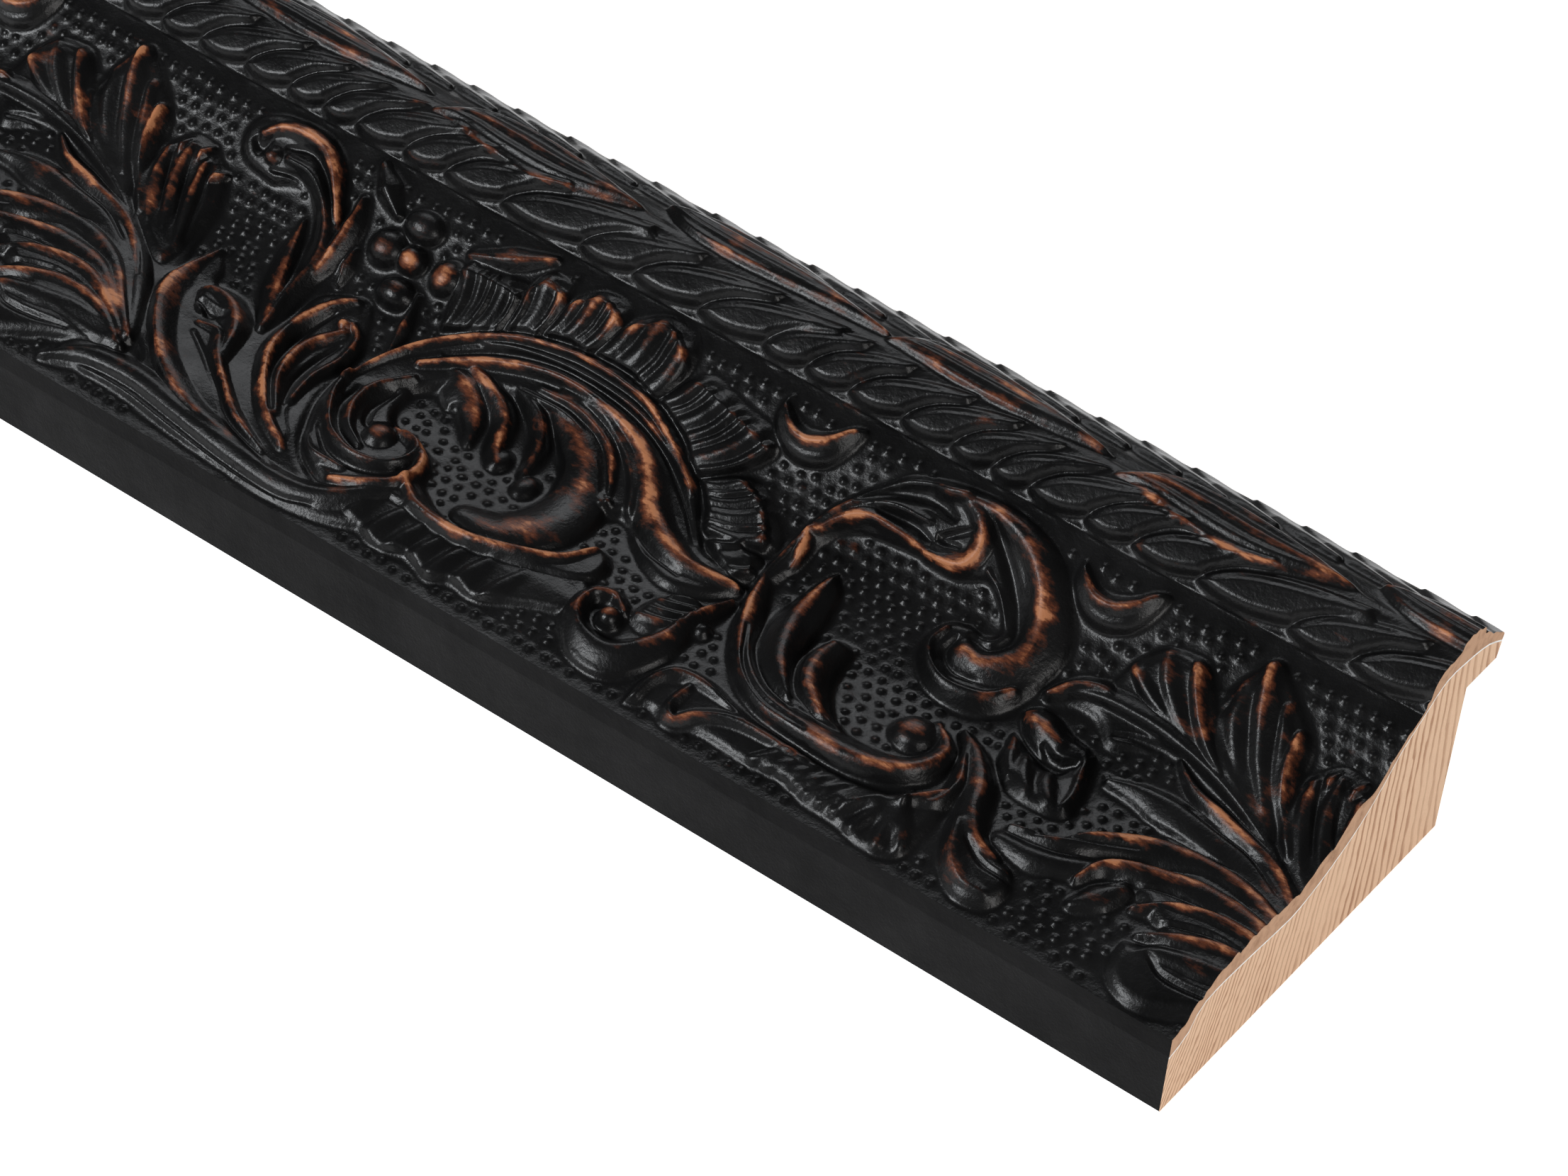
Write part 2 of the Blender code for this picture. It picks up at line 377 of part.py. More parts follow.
def low_leaves(face):
    """Ragged leaves along the outer edge."""
    face.body([(-90, 1.6), (-90, 5.6), (-87.6, 10), (-83, 11), (-77, 9.8), (-70, 9), (-60, 8.6), (-55, 9.2),
               (-49, 10.6), (-44.6, 14), (-44, 8), (-45, 2.4), (-50, 1), (-55, 2.2), (-60, 2.4), (-65, 3.6),
               (-70, 3), (-76, 3.4), (-80, 3), (-83, 1.6), (-86, 3)], 0.9, 1.5)
    face.ridge([(-89, 3), (-88.4, 6.8), (-85.6, 9.6), (-80, 9.8), (-74, 8.4)], [1.4, 1.8, 1.4, 0.7],
               [0.7, 1.2, 1.1, 0.4])
    face.ridge([(-83.4, 8), (-83.8, 4.6), (-82, 3), (-79.6, 5.4), (-75, 7.4), (-68, 7.8), (-62, 7.6)],
               [1.0, 1.3, 1.3, 1.2, 0.7], [0.8, 1.2, 1.3, 1.0, 0.4])
    for k in range(7):
        face.ridge([(-65.4 + 2.3 * k, 8.4), (-67.2 + 2.3 * k, 6.2), (-69.6 + 2.3 * k, 4 - 0.1 * k)],
                   [1.0, 1.5, 1.1], [0.3, 0.75, 0.5], full=0.3)
    for x, s in ((-55, 5.2), (-52.4, 2.6), (-48, 1.8), (-45, 3.4)):
        face.ridge([(-48.6, 9.8), ((-48.6 + x) / 2 - 0.4, (9.8 + s) / 2 + 0.4), (x, s)], [1.0, 1.9, 1.3],
                   [0.6, 1.0, 0.6], full=0.3)
    face.stroke([(-52.5, 8), (-48.6, 9.8), (-45.4, 13.4), (-44.4, 17)], [0.7, 1.4, 1.3, 0.7],
                [1.6, 2.2, 2.1, 1.4], crest=0.3, sharp=0.5)


def right_stem(face):
    """The stem that leaves the junction."""
    face.stroke([(-50.6, 25.6), (-46.6, 22), (-43, 17.6), (-41, 13.4), (-38, 10), (-34, 9)],
                [0.8, 2.2, 2.6, 2.4, 2.0, 0.9], [1.4, 2.3, 2.6, 2.5, 2.2, 1.4], crest=0.2, sharp=0.5)
    face.stroke([(-49.4, 24.6), (-47.2, 20.4), (-45, 16), (-45.6, 11.6), (-49, 10.2)],
                [0.7, 1.1, 1.3, 1.2, 0.6], [1.6, 2.1, 2.3, 2.1, 1.4], sharp=0.5)
    face.body([(-43.6, 16.6), (-42.4, 10), (-40, 5), (-35.4, 1.6), (-31, 2.6), (-29.6, 6), (-31.4, 9),
               (-35, 9.6), (-39, 12.4), (-41, 16)], 1.6, 2.0)
    face.ridge([(-41, 11), (-38.6, 7), (-35.4, 4.4), (-32, 4)], [1.2, 1.8, 1.6, 0.8], [0.7, 1.0, 0.8, 0.4],
               crest=-0.3)
    face.groove([(-38.6, 9.4), (-35, 7.6), (-30.6, 7.2)], [0.5, 0.8, 0.6], [0.5, 1.0, 0.6])


PALMETTE = (([(-37.8, 45.6), (-36.6, 48.4), (-34.2, 50.9), (-31.4, 51.5), (-28.4, 51.2), (-25.8, 48.6),
              (-23.4, 45)], (-18, 38.6), (-31, 41.6)), ([(-24, 46), (-23, 50), (-21.8, 53.6), (-20.2, 56),
        (-17.2, 54), (-14, 51.4), (-11.2, 49), (-9.8, 44.8), (-8.8, 40)], (-7, 32.6), (-19, 39.6)),
            ([(-8.8, 42), (-7.6, 44.8), (-5, 46.8), (-2, 46.8), (1.4, 45), (4, 42.6), (5.4, 37)], (5, 27),
             (-6, 33.4)))
PALMETTE_FOLDS = (([(-37, 46.8), (-33.4, 44.4), (-28, 42)], 1.3, 0.6), ([(-33.6, 50.8), (-30.8, 46.6),
        (-25.8, 42)], 1.6, 0.7), ([(-28.8, 51), (-26, 46.8), (-20.8, 41.4), (-14, 37)], 1.9, 1.4),
                  ([(-22.2, 51), (-20.2, 46), (-16.8, 41)], 1.6, 0.6), ([(-20.2, 55.6), (-17.8, 50),
        (-14.8, 44), (-10.8, 38)], 2.0, 1.3), ([(-15.4, 51.8), (-13.2, 46.8), (-10.4, 41), (-6, 35)], 1.3,
        0.9), ([(-12, 49.2), (-10.8, 44.6), (-8.4, 39.6), (-4.4, 33.4)], 1.4, 1.5),
                  ([(-7, 44.6), (-5.6, 39.4), (-2, 33)], 1.5, 0.9), ([(-3.8, 46.4), (-2.6, 40.4), (1, 33)],
        1.6, 1.0), ([(0, 45), (1.6, 39), (5, 31)], 1.4, 1.0))


def palmette(face):
    """The palmette."""
    face.body([(-44, 38), (-40, 42), (-38.4, 45), (-37.4, 48), (-34.8, 51), (-31.4, 52), (-28, 51.6),
               (-25, 49.4), (-23.4, 52.4), (-20.4, 57), (-17, 55), (-12.6, 51.4), (-10, 48.4), (-9, 45),
               (-6.6, 47.6), (-4, 48.8), (-0.6, 47.8), (3.6, 44.4), (5.6, 40), (7, 32), (9.6, 24), (13, 16),
               (9, 14), (5, 21), (0.6, 27), (-5, 31), (-11, 34.6), (-17, 37), (-24, 38.4), (-30, 37),
               (-34, 35), (-38, 38)], 0.9, 1.8)
    for rim, foot, side in PALMETTE:
        face.body([*rim, foot, side], 1.9, 2.2)
    for line, half, rise in PALMETTE_FOLDS:
        face.ridge(line, [0.8 * half, 1.1 * half, half, 0.6 * half], [0.8 * rise, rise, 0.8 * rise,
                0.3 * rise], crest=-0.25, full=0.3)
    for rim, foot, side in PALMETTE:
        face.ridge(rim, [0.5, 1.0, 1.0, 0.5], [0.2, 0.5, 0.5, 0.2])
    face.stroke([(-44.4, 38.6), (-40, 40.8), (-34, 41.6), (-26, 41), (-16, 37.6), (-6, 32.2), (2, 26),
                 (8, 19.6), (13, 13)], [0.9, 2.0, 2.2, 2.0, 1.8, 1.8, 2.0, 2.0, 1.2],
                [1.4, 2.2, 2.2, 2.1, 2.1, 2.3, 2.4, 2.3, 1.8], crest=-0.3, sharp=0.2)
    face.groove([(-34, 37), (-31, 38), (-25, 38.6), (-19, 37.4), (-12, 34.6), (-5, 30.8), (1, 26.2),
                 (5, 22)], [0.6, 1.0, 1.1, 1.1, 1.0, 0.6], [0.7, 1.4, 1.5, 1.5, 1.3, 0.7])
    face.stroke([(-45, 37.4), (-42.4, 40.2), (-39, 41.6), (-34.6, 41)], [0.9, 1.5, 1.6, 0.8],
                [1.8, 2.3, 2.3, 1.6], crest=0.2, sharp=0.5)


def stem_leaves(face):
    """Leaves that flow into the palmette's stem."""
    rows = (([(-24.4, 38.2), (-20.4, 35.4), (-13.7, 33.2), (-4, 30), (4, 22), (12, 13)], 1.5, 2.2),
            ([(-30.6, 30.4), (-25, 31), (-16, 29.6), (-6, 27.6), (2, 22), (11, 13)], 3.0, 2.2),
            ([(-35.6, 14.6), (-29, 16), (-24.3, 20), (-18.3, 23.6), (-9, 25), (-1, 22.6), (6, 17),
              (12, 12)], 2.0, 2.7), ([(-23.8, 12.6), (-22, 16.6), (-17.3, 18.6), (-9, 20.6), (-1, 19.8),
                                      (6, 15.6), (13, 11.4)], 1.9, 2.5), ([(-15.4, 13.2), (-10.6, 16),
            (-4, 17.6), (2, 16.6), (12, 11)], 1.4, 2.4), ([(-12.4, 10), (-8, 11.6), (-1, 13.8), (5, 13.2),
            (12, 10)], 1.5, 2.2), ([(-12.6, 5.4), (-9, 8.2), (-2, 9.8), (5, 11), (13, 9.4)], 2.0, 1.9))
    face.body([(-14, 32), (-7, 29.6), (1, 24), (9, 15), (12, 11), (10, 8), (0, 8.6), (-7, 10.6),
               (-13, 13.6), (-17, 16), (-18, 20), (-12, 25), (-17, 28), (-22, 31)], 1.7, 1.8)
    for line, half, top in rows:
        face.stroke(line, [0.25 * half, 1.0 * half, 1.3 * half, 1.2 * half, 1.05 * half, 0.6 * half],
                    [0.6 * top, top, 1.05 * top, top, 0.95 * top, 0.85 * top], crest=0.35, sharp=0.2)
    face.stroke([(-35.6, 12.6), (-30, 12.6), (-25, 14.6), (-21, 18)], [1.4, 2.2, 2.0, 0.8],
                [1.1, 1.6, 1.6, 1.2], sharp=0.3)
    face.stroke([(-22, 9.4), (-20, 11.6), (-18, 15)], [1.0, 2.4, 1.6], [1.0, 1.6, 1.8])
    face.body([(-13.4, 8.6), (-13.4, 4.6), (-10.6, 1.6), (-6.4, 0.8), (-2, 2.6), (4, 6), (10, 8), (4, 10.4),
               (-3, 9.4), (-9, 9.6)], 1.5, 2.2)
    face.groove([(-9.4, 8.2), (-6, 6.6), (-0.7, 6.9), (5, 8)], [0.5, 0.8, 0.8, 0.4], [0.5, 1.0, 1.0, 0.4])
    for line in ([(-29.6, 29), (-25, 28.2), (-18, 27.6), (-9, 26.6)], [(-22, 33.2), (-15, 31.8), (-8, 30.4),
            (-2, 27)], [(-33, 14.8), (-27, 18), (-20, 22)], [(-15, 12), (-12.6, 12.2), (-5, 15), (1, 15)],
                 [(-20, 14), (-14, 17.6), (-6, 18.8)]):
        face.groove(line, [0.4, 0.7, 0.4], [0.5, 1.0, 0.5])


def small_leaves(face):
    """Two round leaves at the palmette's foot."""
    face.body([(-46.4, 33.4), (-45, 35.2), (-42, 35.2), (-38.4, 33.8), (-35.8, 33.4), (-34.4, 31.4),
               (-35, 29), (-38, 28.2), (-41, 28.8), (-44.6, 30.6)], 1.9, 2.0)
    face.ridge([(-45.6, 33), (-42.6, 32.4), (-39, 31.4)], [1.4, 2.2, 1.3], [0.5, 1.0, 0.5], full=0.5)
    face.body([(-46, 30.4), (-43, 28.8), (-40, 27.6), (-36.8, 27.4), (-35.4, 32), (-34.4, 33), (-33, 30),
               (-31.8, 26), (-31, 22), (-33, 20.2), (-37, 19.8), (-41, 20.8), (-44, 24)], 1.6, 2.2)
    for foot, tip in (((-44.6, 29), (-41.4, 22.4)), ((-41.4, 27.4), (-37.8, 21)),
                      ((-37.6, 27), (-34.2, 21.2))):
        face.ridge([foot, (0.5 * (foot[0] + tip[0]) - 0.6, 0.5 * (foot[1] + tip[1])), tip], [1.0, 1.7, 1.1],
                   [0.4, 0.8, 0.5], full=0.4)
    face.ridge([(-35.4, 32.4), (-33.9, 29), (-32.6, 25), (-32.4, 21.8)], [0.7, 1.1, 1.1, 0.7],
               [0.4, 0.8, 0.8, 0.4])
    face.groove([(-40.6, 29.8), (-38, 28.6), (-35.6, 29.8)], [0.7, 1.2, 0.7], [0.9, 1.8, 0.9])


def bottom_stem(face):
    """The stem along the outer edge."""
    face.body([(-193.4, 29), (-190.6, 34.4), (-187.8, 32), (-186.6, 29.4), (-181.4, 29.2), (-176, 26),
               (-174, 30), (-172.8, 36), (-168, 38.8), (-164.6, 38.4), (-161.6, 33), (-160, 26),
               (-158.6, 18.6), (-154, 10), (-146, 6.6), (-139, 9), (-138, 4.6), (-146, 1.6), (-155, 0.9),
               (-165, 2), (-175, 3.2), (-184, 4.6), (-190, 3.8), (-195.6, 2.2), (-193.4, 8.4), (-184, 8.6),
               (-189, 14), (-192.4, 20)], 1.0, 1.6)
    face.stroke([(-196.4, 2.4), (-191, 5.6), (-182, 6.4), (-172, 5), (-162, 4.2), (-152, 3.6), (-145, 5.4),
                 (-139.4, 10), (-137, 14.6)], [0.7, 2.6, 3.0, 2.8, 2.8, 2.8, 2.6, 2.2, 1.2],
                [1.2, 2.0, 2.1, 2.1, 2.1, 2.1, 2.1, 2.2, 2.0], crest=0.25, sharp=0.35)
    face.groove([(-195, 2.6), (-190, 4.4), (-182, 4.9), (-173, 3.8), (-162, 2.4), (-152, 1.8), (-146, 3.4)],
                [0.5, 0.8, 0.8, 0.7, 0.5], [0.4, 0.9, 0.9, 0.8, 0.4])
    face.stroke([(-190.4, 34.4), (-191.2, 29), (-190.4, 23.4), (-186.4, 17.4), (-180, 11.6), (-171, 7.6),
                 (-160, 6)], [0.7, 2.8, 2.6, 2.3, 2.1, 1.8, 1.2], [1.2, 2.3, 2.5, 2.4, 2.3, 2.1, 1.6],
                crest=-0.45, sharp=0.6)
    face.body([(-188, 26.4), (-186.6, 28.7), (-183.4, 29.3), (-179.6, 28), (-176, 25), (-174, 20),
               (-172.6, 14), (-174.4, 13), (-176.6, 18), (-179, 21.6), (-182, 22.4), (-184.6, 22),
               (-186.4, 23.6)], 2.0, 1.7)
    face.ridge([(-187, 27), (-184.4, 27.4), (-180.6, 26), (-177.4, 22.4), (-175.2, 17)],
               [1.0, 1.8, 1.8, 1.4, 0.8], [0.5, 0.9, 0.9, 0.7, 0.4])
    face.stroke([(-182.6, 20.4), (-179, 20.4), (-176, 17), (-172, 13.4), (-166, 9.4), (-158, 6.6)],
                [0.9, 1.5, 1.7, 1.7, 1.5, 0.9], [1.6, 2.2, 2.2, 2.1, 1.9, 1.4], crest=0.2, sharp=0.5)
    face.groove([(-185.6, 24.4), (-183, 23.5), (-180.4, 24)], [0.8, 1.3, 0.7], [1.2, 2.2, 0.9])
    face.groove([(-182, 18.7), (-177.3, 15.9), (-171.7, 12.3), (-165, 8), (-155, 5)], [0.5, 0.7, 0.7, 0.4],
                [0.6, 1.1, 1.0, 0.4])


def crook(face):
    """The crook and its side leaves."""
    face.body([(-190.6, 47.4), (-196.7, 48.6), (-199, 51.6), (-198.4, 55.2), (-195, 57.3), (-190, 57.9),
               (-185, 57.1), (-181, 54.6), (-178.6, 51), (-176.6, 46.6), (-175, 41), (-174.4, 33),
               (-173.6, 25), (-176.6, 25), (-178, 32), (-179.2, 39), (-180.6, 44), (-183.4, 47.6),
               (-187, 49)], 1.3, 1.7)
    face.ridge([(-195.6, 53.4), (-193, 55.4), (-189, 56.2), (-185, 55.5), (-181.5, 53), (-178.6, 49),
                (-176, 45.6)], [1.0, 1.8, 2.0, 1.8, 1.0], [0.9, 1.5, 1.6, 1.4, 0.7])
    face.ridge([(-189.8, 51.8), (-185.4, 51.6), (-181.5, 49.4), (-178.5, 46), (-176.6, 41), (-176.6, 33),
                (-175.4, 26)], [0.9, 1.3, 1.3, 1.2, 1.0], [0.8, 1.2, 1.2, 1.0, 0.7])
    face.groove([(-191, 53.2), (-187, 54.1), (-183.6, 52.7), (-180.4, 49.9), (-178, 46.6)],
                [0.6, 0.9, 0.9, 0.6], [0.7, 1.4, 1.3, 0.6])
    face.groove([(-191.6, 49.2), (-187, 50), (-182.6, 47.6), (-179.6, 42.6)], [0.5, 0.8, 0.8, 0.5],
                [0.5, 1.1, 1.0, 0.5])
    face.groove([(-196.4, 52), (-195, 51.2), (-194.2, 53)], [0.7, 1.1, 0.6], [0.8, 1.4, 0.7])
    face.dome(-192.4, 51.1, 1.8, 1.7, 2.4)
    face.stroke([(-175.8, 52), (-175, 48.6), (-174.8, 44), (-175.4, 38.6)], [0.7, 1.7, 1.9, 0.9],
                [1.4, 2.5, 2.5, 1.7], crest=-0.3, sharp=0.5)
    face.stroke([(-182.7, 44.8), (-181.4, 39.4), (-179.6, 34.4), (-176.4, 28)], [0.5, 2.0, 2.3, 1.4],
                [1.0, 2.2, 2.3, 1.8], crest=0.45, sharp=0.6)


def acanthus(face):
    """The acanthus lobe."""
    face.body([(-165.6, 38.6), (-169.7, 37.6), (-172.4, 34.2), (-173.6, 30), (-173.2, 25), (-171.5, 20.7),
               (-168.3, 16.6), (-163.3, 11.8), (-156, 7.6), (-156, 11), (-159.6, 15), (-160.6, 21),
               (-160.8, 27), (-161, 31.4), (-163, 34.4)], 1.4, 1.5)
    face.ridge([(-167, 38), (-169.4, 35.4), (-171.4, 31.4), (-171.9, 26.7), (-170.7, 22), (-167, 16.6),
                (-162.3, 11.9), (-156, 8.6)], [1.2, 1.7, 1.7, 1.5, 1.3, 0.9],
               [1.1, 1.4, 1.5, 1.4, 1.1, 0.6], crest=0.2)
    face.ridge([(-164.9, 32), (-167.3, 27.9), (-167.4, 23.4), (-165.4, 17.6), (-161, 12.6)],
               [1.3, 1.7, 1.6, 1.0], [1.0, 1.3, 1.2, 0.6])
    face.ridge([(-164.6, 34.2), (-162.3, 32.4), (-161.6, 28), (-162.2, 22), (-161, 16)],
               [0.8, 1.1, 1.1, 0.8], [0.9, 1.1, 1.0, 0.6])
    face.groove([(-168.4, 34.4), (-169.6, 29), (-169, 23.6), (-166.4, 18), (-161.6, 12.6)],
                [0.6, 0.9, 0.9, 0.5], [0.7, 1.3, 1.2, 0.5])
    face.groove([(-163.8, 30), (-164.6, 25.6), (-163.8, 20), (-161.4, 15)], [0.5, 0.8, 0.8, 0.5],
                [0.6, 1.2, 1.1, 0.5])
    face.dome(-165.7, 33.4, 1.4, 1.4, 2.7)


def berries(face):
    """Berries and sprigs."""
    for x, s, rx, rs in ((-164.8, 52.5, 3.3, 2.5), (-168.4, 47.3, 3.0, 2.9), (-163.7, 47.5, 2.3, 2.3),
                         (-163, 42, 3.2, 2.5), (-157.3, 47.6, 2.6, 2.8)):
        face.dome(x, s, rx, rs, 2.6)
    for line, half in (([(-176.4, 58), (-173, 55), (-169.6, 52.4)], 2.0), ([(-172.6, 45), (-171.6, 39)],
            1.2), ([(-159.6, 43.4), (-158, 37), (-157.2, 32)], 1.2), ([(-156, 52.4), (-150, 54.6),
            (-144, 57.6)], 1.9)):
        face.stroke(line, [0.4 * half, half, 0.4 * half], [1.2, 2.0, 1.2], crest=-0.2, sharp=0.6)


LOW_TIPS = (-121.0, -109.5, -102.0, -94.5, -85.5, -77.0, -70.2, -64.0, -54.7, -47.0, -36.5, -22.0, -12.3)
FAR_TIPS = (-112.0, -104.0, -96.5, -88.0, -79.0, -70.5, -62.0, -54.5, -46.0, -36.0, -28.0, -20.0, -9.0,
            -1.0)
CREST_LEAVES = (([(-95, 70.1), (-88, 69.6), (-79, 69), (-70, 69.3), (-58, 70.6)],
                 [(-94, 70.8), (-89, 74), (-80, 74.6), (-70, 73.6), (-58, 71.4)]),
                ([(-54.6, 68.4), (-49, 67.6), (-41, 66.2), (-32, 66.4), (-18, 69.8)],
                 [(-54, 69.2), (-48, 72.6), (-40, 73.6), (-30, 72.8), (-17, 70.6)]),
                ([(-15, 73), (-9, 70.2), (0, 69.5), (10, 70), (26, 70.6)], [(-14.4, 73.8), (-8, 75.6),
        (1, 75.4), (11, 74.2), (26, 71.4)]))


def leaf_band(face):
    """The laurel band."""
    face.repeat = LEAF_REPEAT
    face.stroke([(-126, 66), (-60, 66), (6, 66)], [4.6], [0.9])
    for x, further in zip(LOW_TIPS, LOW_TIPS[1:] + (-0.5,)):
        wide = np.clip((further - x) / 9, 0.85, 1.4)
        upper = [(x, 61.0), (x + 1.1 * wide, 63.1), (x + 3.6 * wide, 65.2), (x + 7.4 * wide, 66.9),
                 (x + 12.4 * wide, 68.2), (x + 18 * wide, 69.2)]
        lower = [(p + further - x, q) for p, q in upper[1:4]]
        face.body([*upper, (x + 17 * wide, 68.4), *lower[::-1], (further - 0.2, 61.6),
                   (0.4 * x + 0.6 * further, 60.2), (0.75 * x + 0.25 * further, 60.1)], 2.0, 1.7)
        face.ridge([(p + 0.2, q - 0.3) for p, q in upper], [0.3, 0.45, 0.45, 0.3], [0.15, 0.35, 0.35, 0.1])
        face.groove([(p + 0.7, q - 0.95) for p, q in upper[1:5]], [0.3, 0.45, 0.3], [0.12, 0.25, 0.12])
    for x in FAR_TIPS:
        face.stroke([(x - 3, 83.0), (x + 1.5, 80.6), (x + 7, 78.0), (x + 13, 75.8)], [0.9, 2.6, 2.5, 0.9],
                    [0.5, 1.1, 1.2, 0.8], crest=-0.5, sharp=0.2)
    for lower, upper in CREST_LEAVES:
        face.body([*lower, *upper[::-1]], 1.6, 1.5)
        for share in (0.1, 0.34, 0.58, 0.84):
            rib = [(1 - share) * np.array(p) + share * np.array(q) for p, q in zip(lower, upper)]
            face.ridge(rib, [0.4, 0.8, 0.9, 0.8, 0.4], [0.15, 0.4, 0.42, 0.38, 0.15], full=0.0)
    face.repeat = REPEAT


def ornament():
    """The whole relief on an even grid."""
    ground = curve(GROUND, SECTION_STEP)
    width = np.hypot(*np.diff(ground, axis=0).T).sum()
    xs = np.linspace(-LENGTH, 0, round(LENGTH / GRID) + 1)
    ss = np.linspace(0, width, round(width / GRID) + 1)
    face = Face(xs, ss)
    for motif in (main_scroll, left_volute, inner_leaves, shell_crest, lower_rail, low_curl, crescents,
                  g_scroll, low_volute, low_leaves, right_stem, palmette, stem_leaves, small_leaves,
                  bottom_stem, crook, acanthus, berries, leaf_band):
        motif(face)
    face.soften(SOFTEN)
    face.h[[0, -1]] = 0.0
    return face


def frame_point(x, y, z):
    """From the drawing's millimetres to the part's metres, its origin under the middle."""
    return np.stack([x + LENGTH / 2, y - WIDTH / 2, z], axis=-1) * MM


def relief_points(face):
    """The relief carried over the curved section, out along its normal."""
    ground = curve(GROUND, SECTION_STEP)
    run = np.r_[0, np.cumsum(np.hypot(*np.diff(ground, axis=0).T))]
    slope = np.gradient(ground, run, axis=0)
    y, z, ty, tz = (np.interp(face.ss, run, v)[:, None] for v in (ground[:, 0], ground[:, 1], slope[:, 0],
            slope[:, 1]))
    return frame_point(np.broadcast_to(face.xs, face.h.shape), y - tz * face.h, z + ty * face.h)


def material(name, colour, roughness):
    made = bpy.data.materials.new(name)
    made.use_nodes = True
    shader = made.node_tree.nodes["Principled BSDF"]
    shader.inputs["Base Color"].default_value = (*colour, 1)
    shader.inputs["Roughness"].default_value = roughness
    shader.inputs["Metallic"].default_value = 0.0
    return made


def put(name, mesh, finish):
    made = bpy.data.objects.new(name, mesh)
    mesh.materials.append(finish)
    bpy.context.collection.objects.link(made)
    return made


def thinned(mesh, faces):
    """The same surface with about this many triangles, fewer where it is plain."""
    scratch = bpy.data.objects.new("scratch", mesh)
    bpy.context.collection.objects.link(scratch)
    thin = scratch.modifiers.new("thin", "DECIMATE")
    thin.ratio = faces / (2 * len(mesh.polygons))
    thin.use_collapse_triangulate = True
    evaluated = scratch.evaluated_get(bpy.context.evaluated_depsgraph_get())
    result = bpy.data.meshes.new_from_object(evaluated)
    bpy.data.objects.remove(scratch)
    return result


def make_core(finish):
    """The pine: a planed section with a rabbet, run the whole length."""
    top = [tuple(p) for p in curve(CORE_TOP, BED_STEP)]
    section = [(BACK_WIDTH, 0.0), (BACK_WIDTH, RABBET_HEIGHT), (LIP_UNDER_OUT, RABBET_HEIGHT),
               *reversed(top), (0.0, 0.0)]
    bm = bmesh.new()
    outline = [bm.verts.new(frame_point(-LENGTH, y, z)) for y, z in section]
    end = bm.faces.new(outline)
    grown = bmesh.ops.extrude_face_region(bm, geom=[end])
    moved = [v for v in grown["geom"] if isinstance(v, bmesh.types.BMVert)]
    bmesh.ops.translate(bm, vec=(LENGTH * MM, 0, 0), verts=moved)
    bmesh.ops.recalc_face_normals(bm, faces=bm.faces)
    mesh = bpy.data.meshes.new("pine_core")
    bm.to_mesh(mesh)
    bm.free()
    return put("pine_core", mesh, finish)


def make_face(finish):
    """The composition: the relief above, the core's section below and square ends."""
    points = relief_points(ornament())
    rows, columns = points.shape[:2]
    index = np.arange(rows * columns).reshape(rows, columns)
    quads = np.stack([index[:-1, :-1], index[:-1, 1:], index[1:, 1:], index[1:, :-1]], -1).reshape(-1, 4)
    top = bpy.data.meshes.new("relief")
    top.from_pydata(points.reshape(-1, 3).tolist(), [], quads.tolist())
    bm = bmesh.new()
    bm.from_mesh(thinned(top, FACE_TRIANGLES))
    half, half_width = LENGTH * MM / 2, WIDTH * MM / 2
    for v in bm.verts:
        v.co.y = min(max(v.co.y, -half_width), half_width)
    loop = rim(bm)
    for v in loop:
        if half - abs(v.co.x) < 0.2 * GRID * MM:
            v.co.x = math.copysign(half, v.co.x)
        elif v.co.y < 0:
            v.co.y, v.co.z = -half_width, OUTER_HEIGHT * MM
        else:
            v.co.y, v.co.z = half_width, GROUND[-1][1] * MM
    corners = [min(range(len(loop)), key=lambda k: (loop[k].co - corner).length)
               for corner in map(Vector, frame_point(*np.array([(-LENGTH, 0, OUTER_HEIGHT),
            (0, 0, OUTER_HEIGHT), (0, *GROUND[-1]), (-LENGTH, *GROUND[-1])]).T))]
    bed = [[bm.verts.new(frame_point(x, y, z + JOINT_GAP)) for y, z in curve(CORE_TOP, BED_STEP)]
           for x in np.linspace(-LENGTH, 0, SPANS + 1)]
    for near, far in zip(bed, bed[1:]):
        for a, b, c, d in zip(near, near[1:], far[1:], far):
            bm.faces.new((a, b, c, d))

    def edge(first, last):
        """The rim from one corner to another, whichever way round misses the other two."""
        i, j = corners[first], corners[last]
        others = [corners[k] for k in range(4) if k not in (first, last)]
        ahead = [(i + k) % len(loop) for k in range((j - i) % len(loop) + 1)]
        back = [(i - k) % len(loop) for k in range((i - j) % len(loop) + 1)]
        way = ahead if not set(others) & set(ahead) else back
        return [loop[k] for k in way]

    bm.faces.new(edge(0, 1) + [row[0] for row in bed[::-1]])
    bm.faces.new(edge(3, 2) + [row[-1] for row in bed[::-1]])
    bm.faces.new(edge(0, 3) + bed[0][::-1])
    bm.faces.new(edge(1, 2) + bed[-1][::-1])
    bmesh.ops.triangulate(bm, faces=[f for f in bm.faces if len(f.verts) > 4], ngon_method="BEAUTY")
    bmesh.ops.recalc_face_normals(bm, faces=bm.faces)
    mesh = bpy.data.meshes.new("compo_face")
    bm.to_mesh(mesh)
    bm.free()
    mesh.shade_smooth()
    mesh.set_sharp_from_angle(angle=math.radians(CREASE_DEGREES))
    return put("compo_face", mesh, finish)


def rim(bm):
    """The open edge of a sheet, as its corners in order."""
    follow = {}
    for e in bm.edges:
        if e.is_boundary:
            a, b = e.verts
            follow.setdefault(a, []).append(b)
            follow.setdefault(b, []).append(a)
    start = next(iter(follow))
    loop, last, here = [start], None, start
    while True:
        step = next(v for v in follow[here] if v is not last)
        if step is start:
            return loop
        loop.append(step)
        last, here = here, step


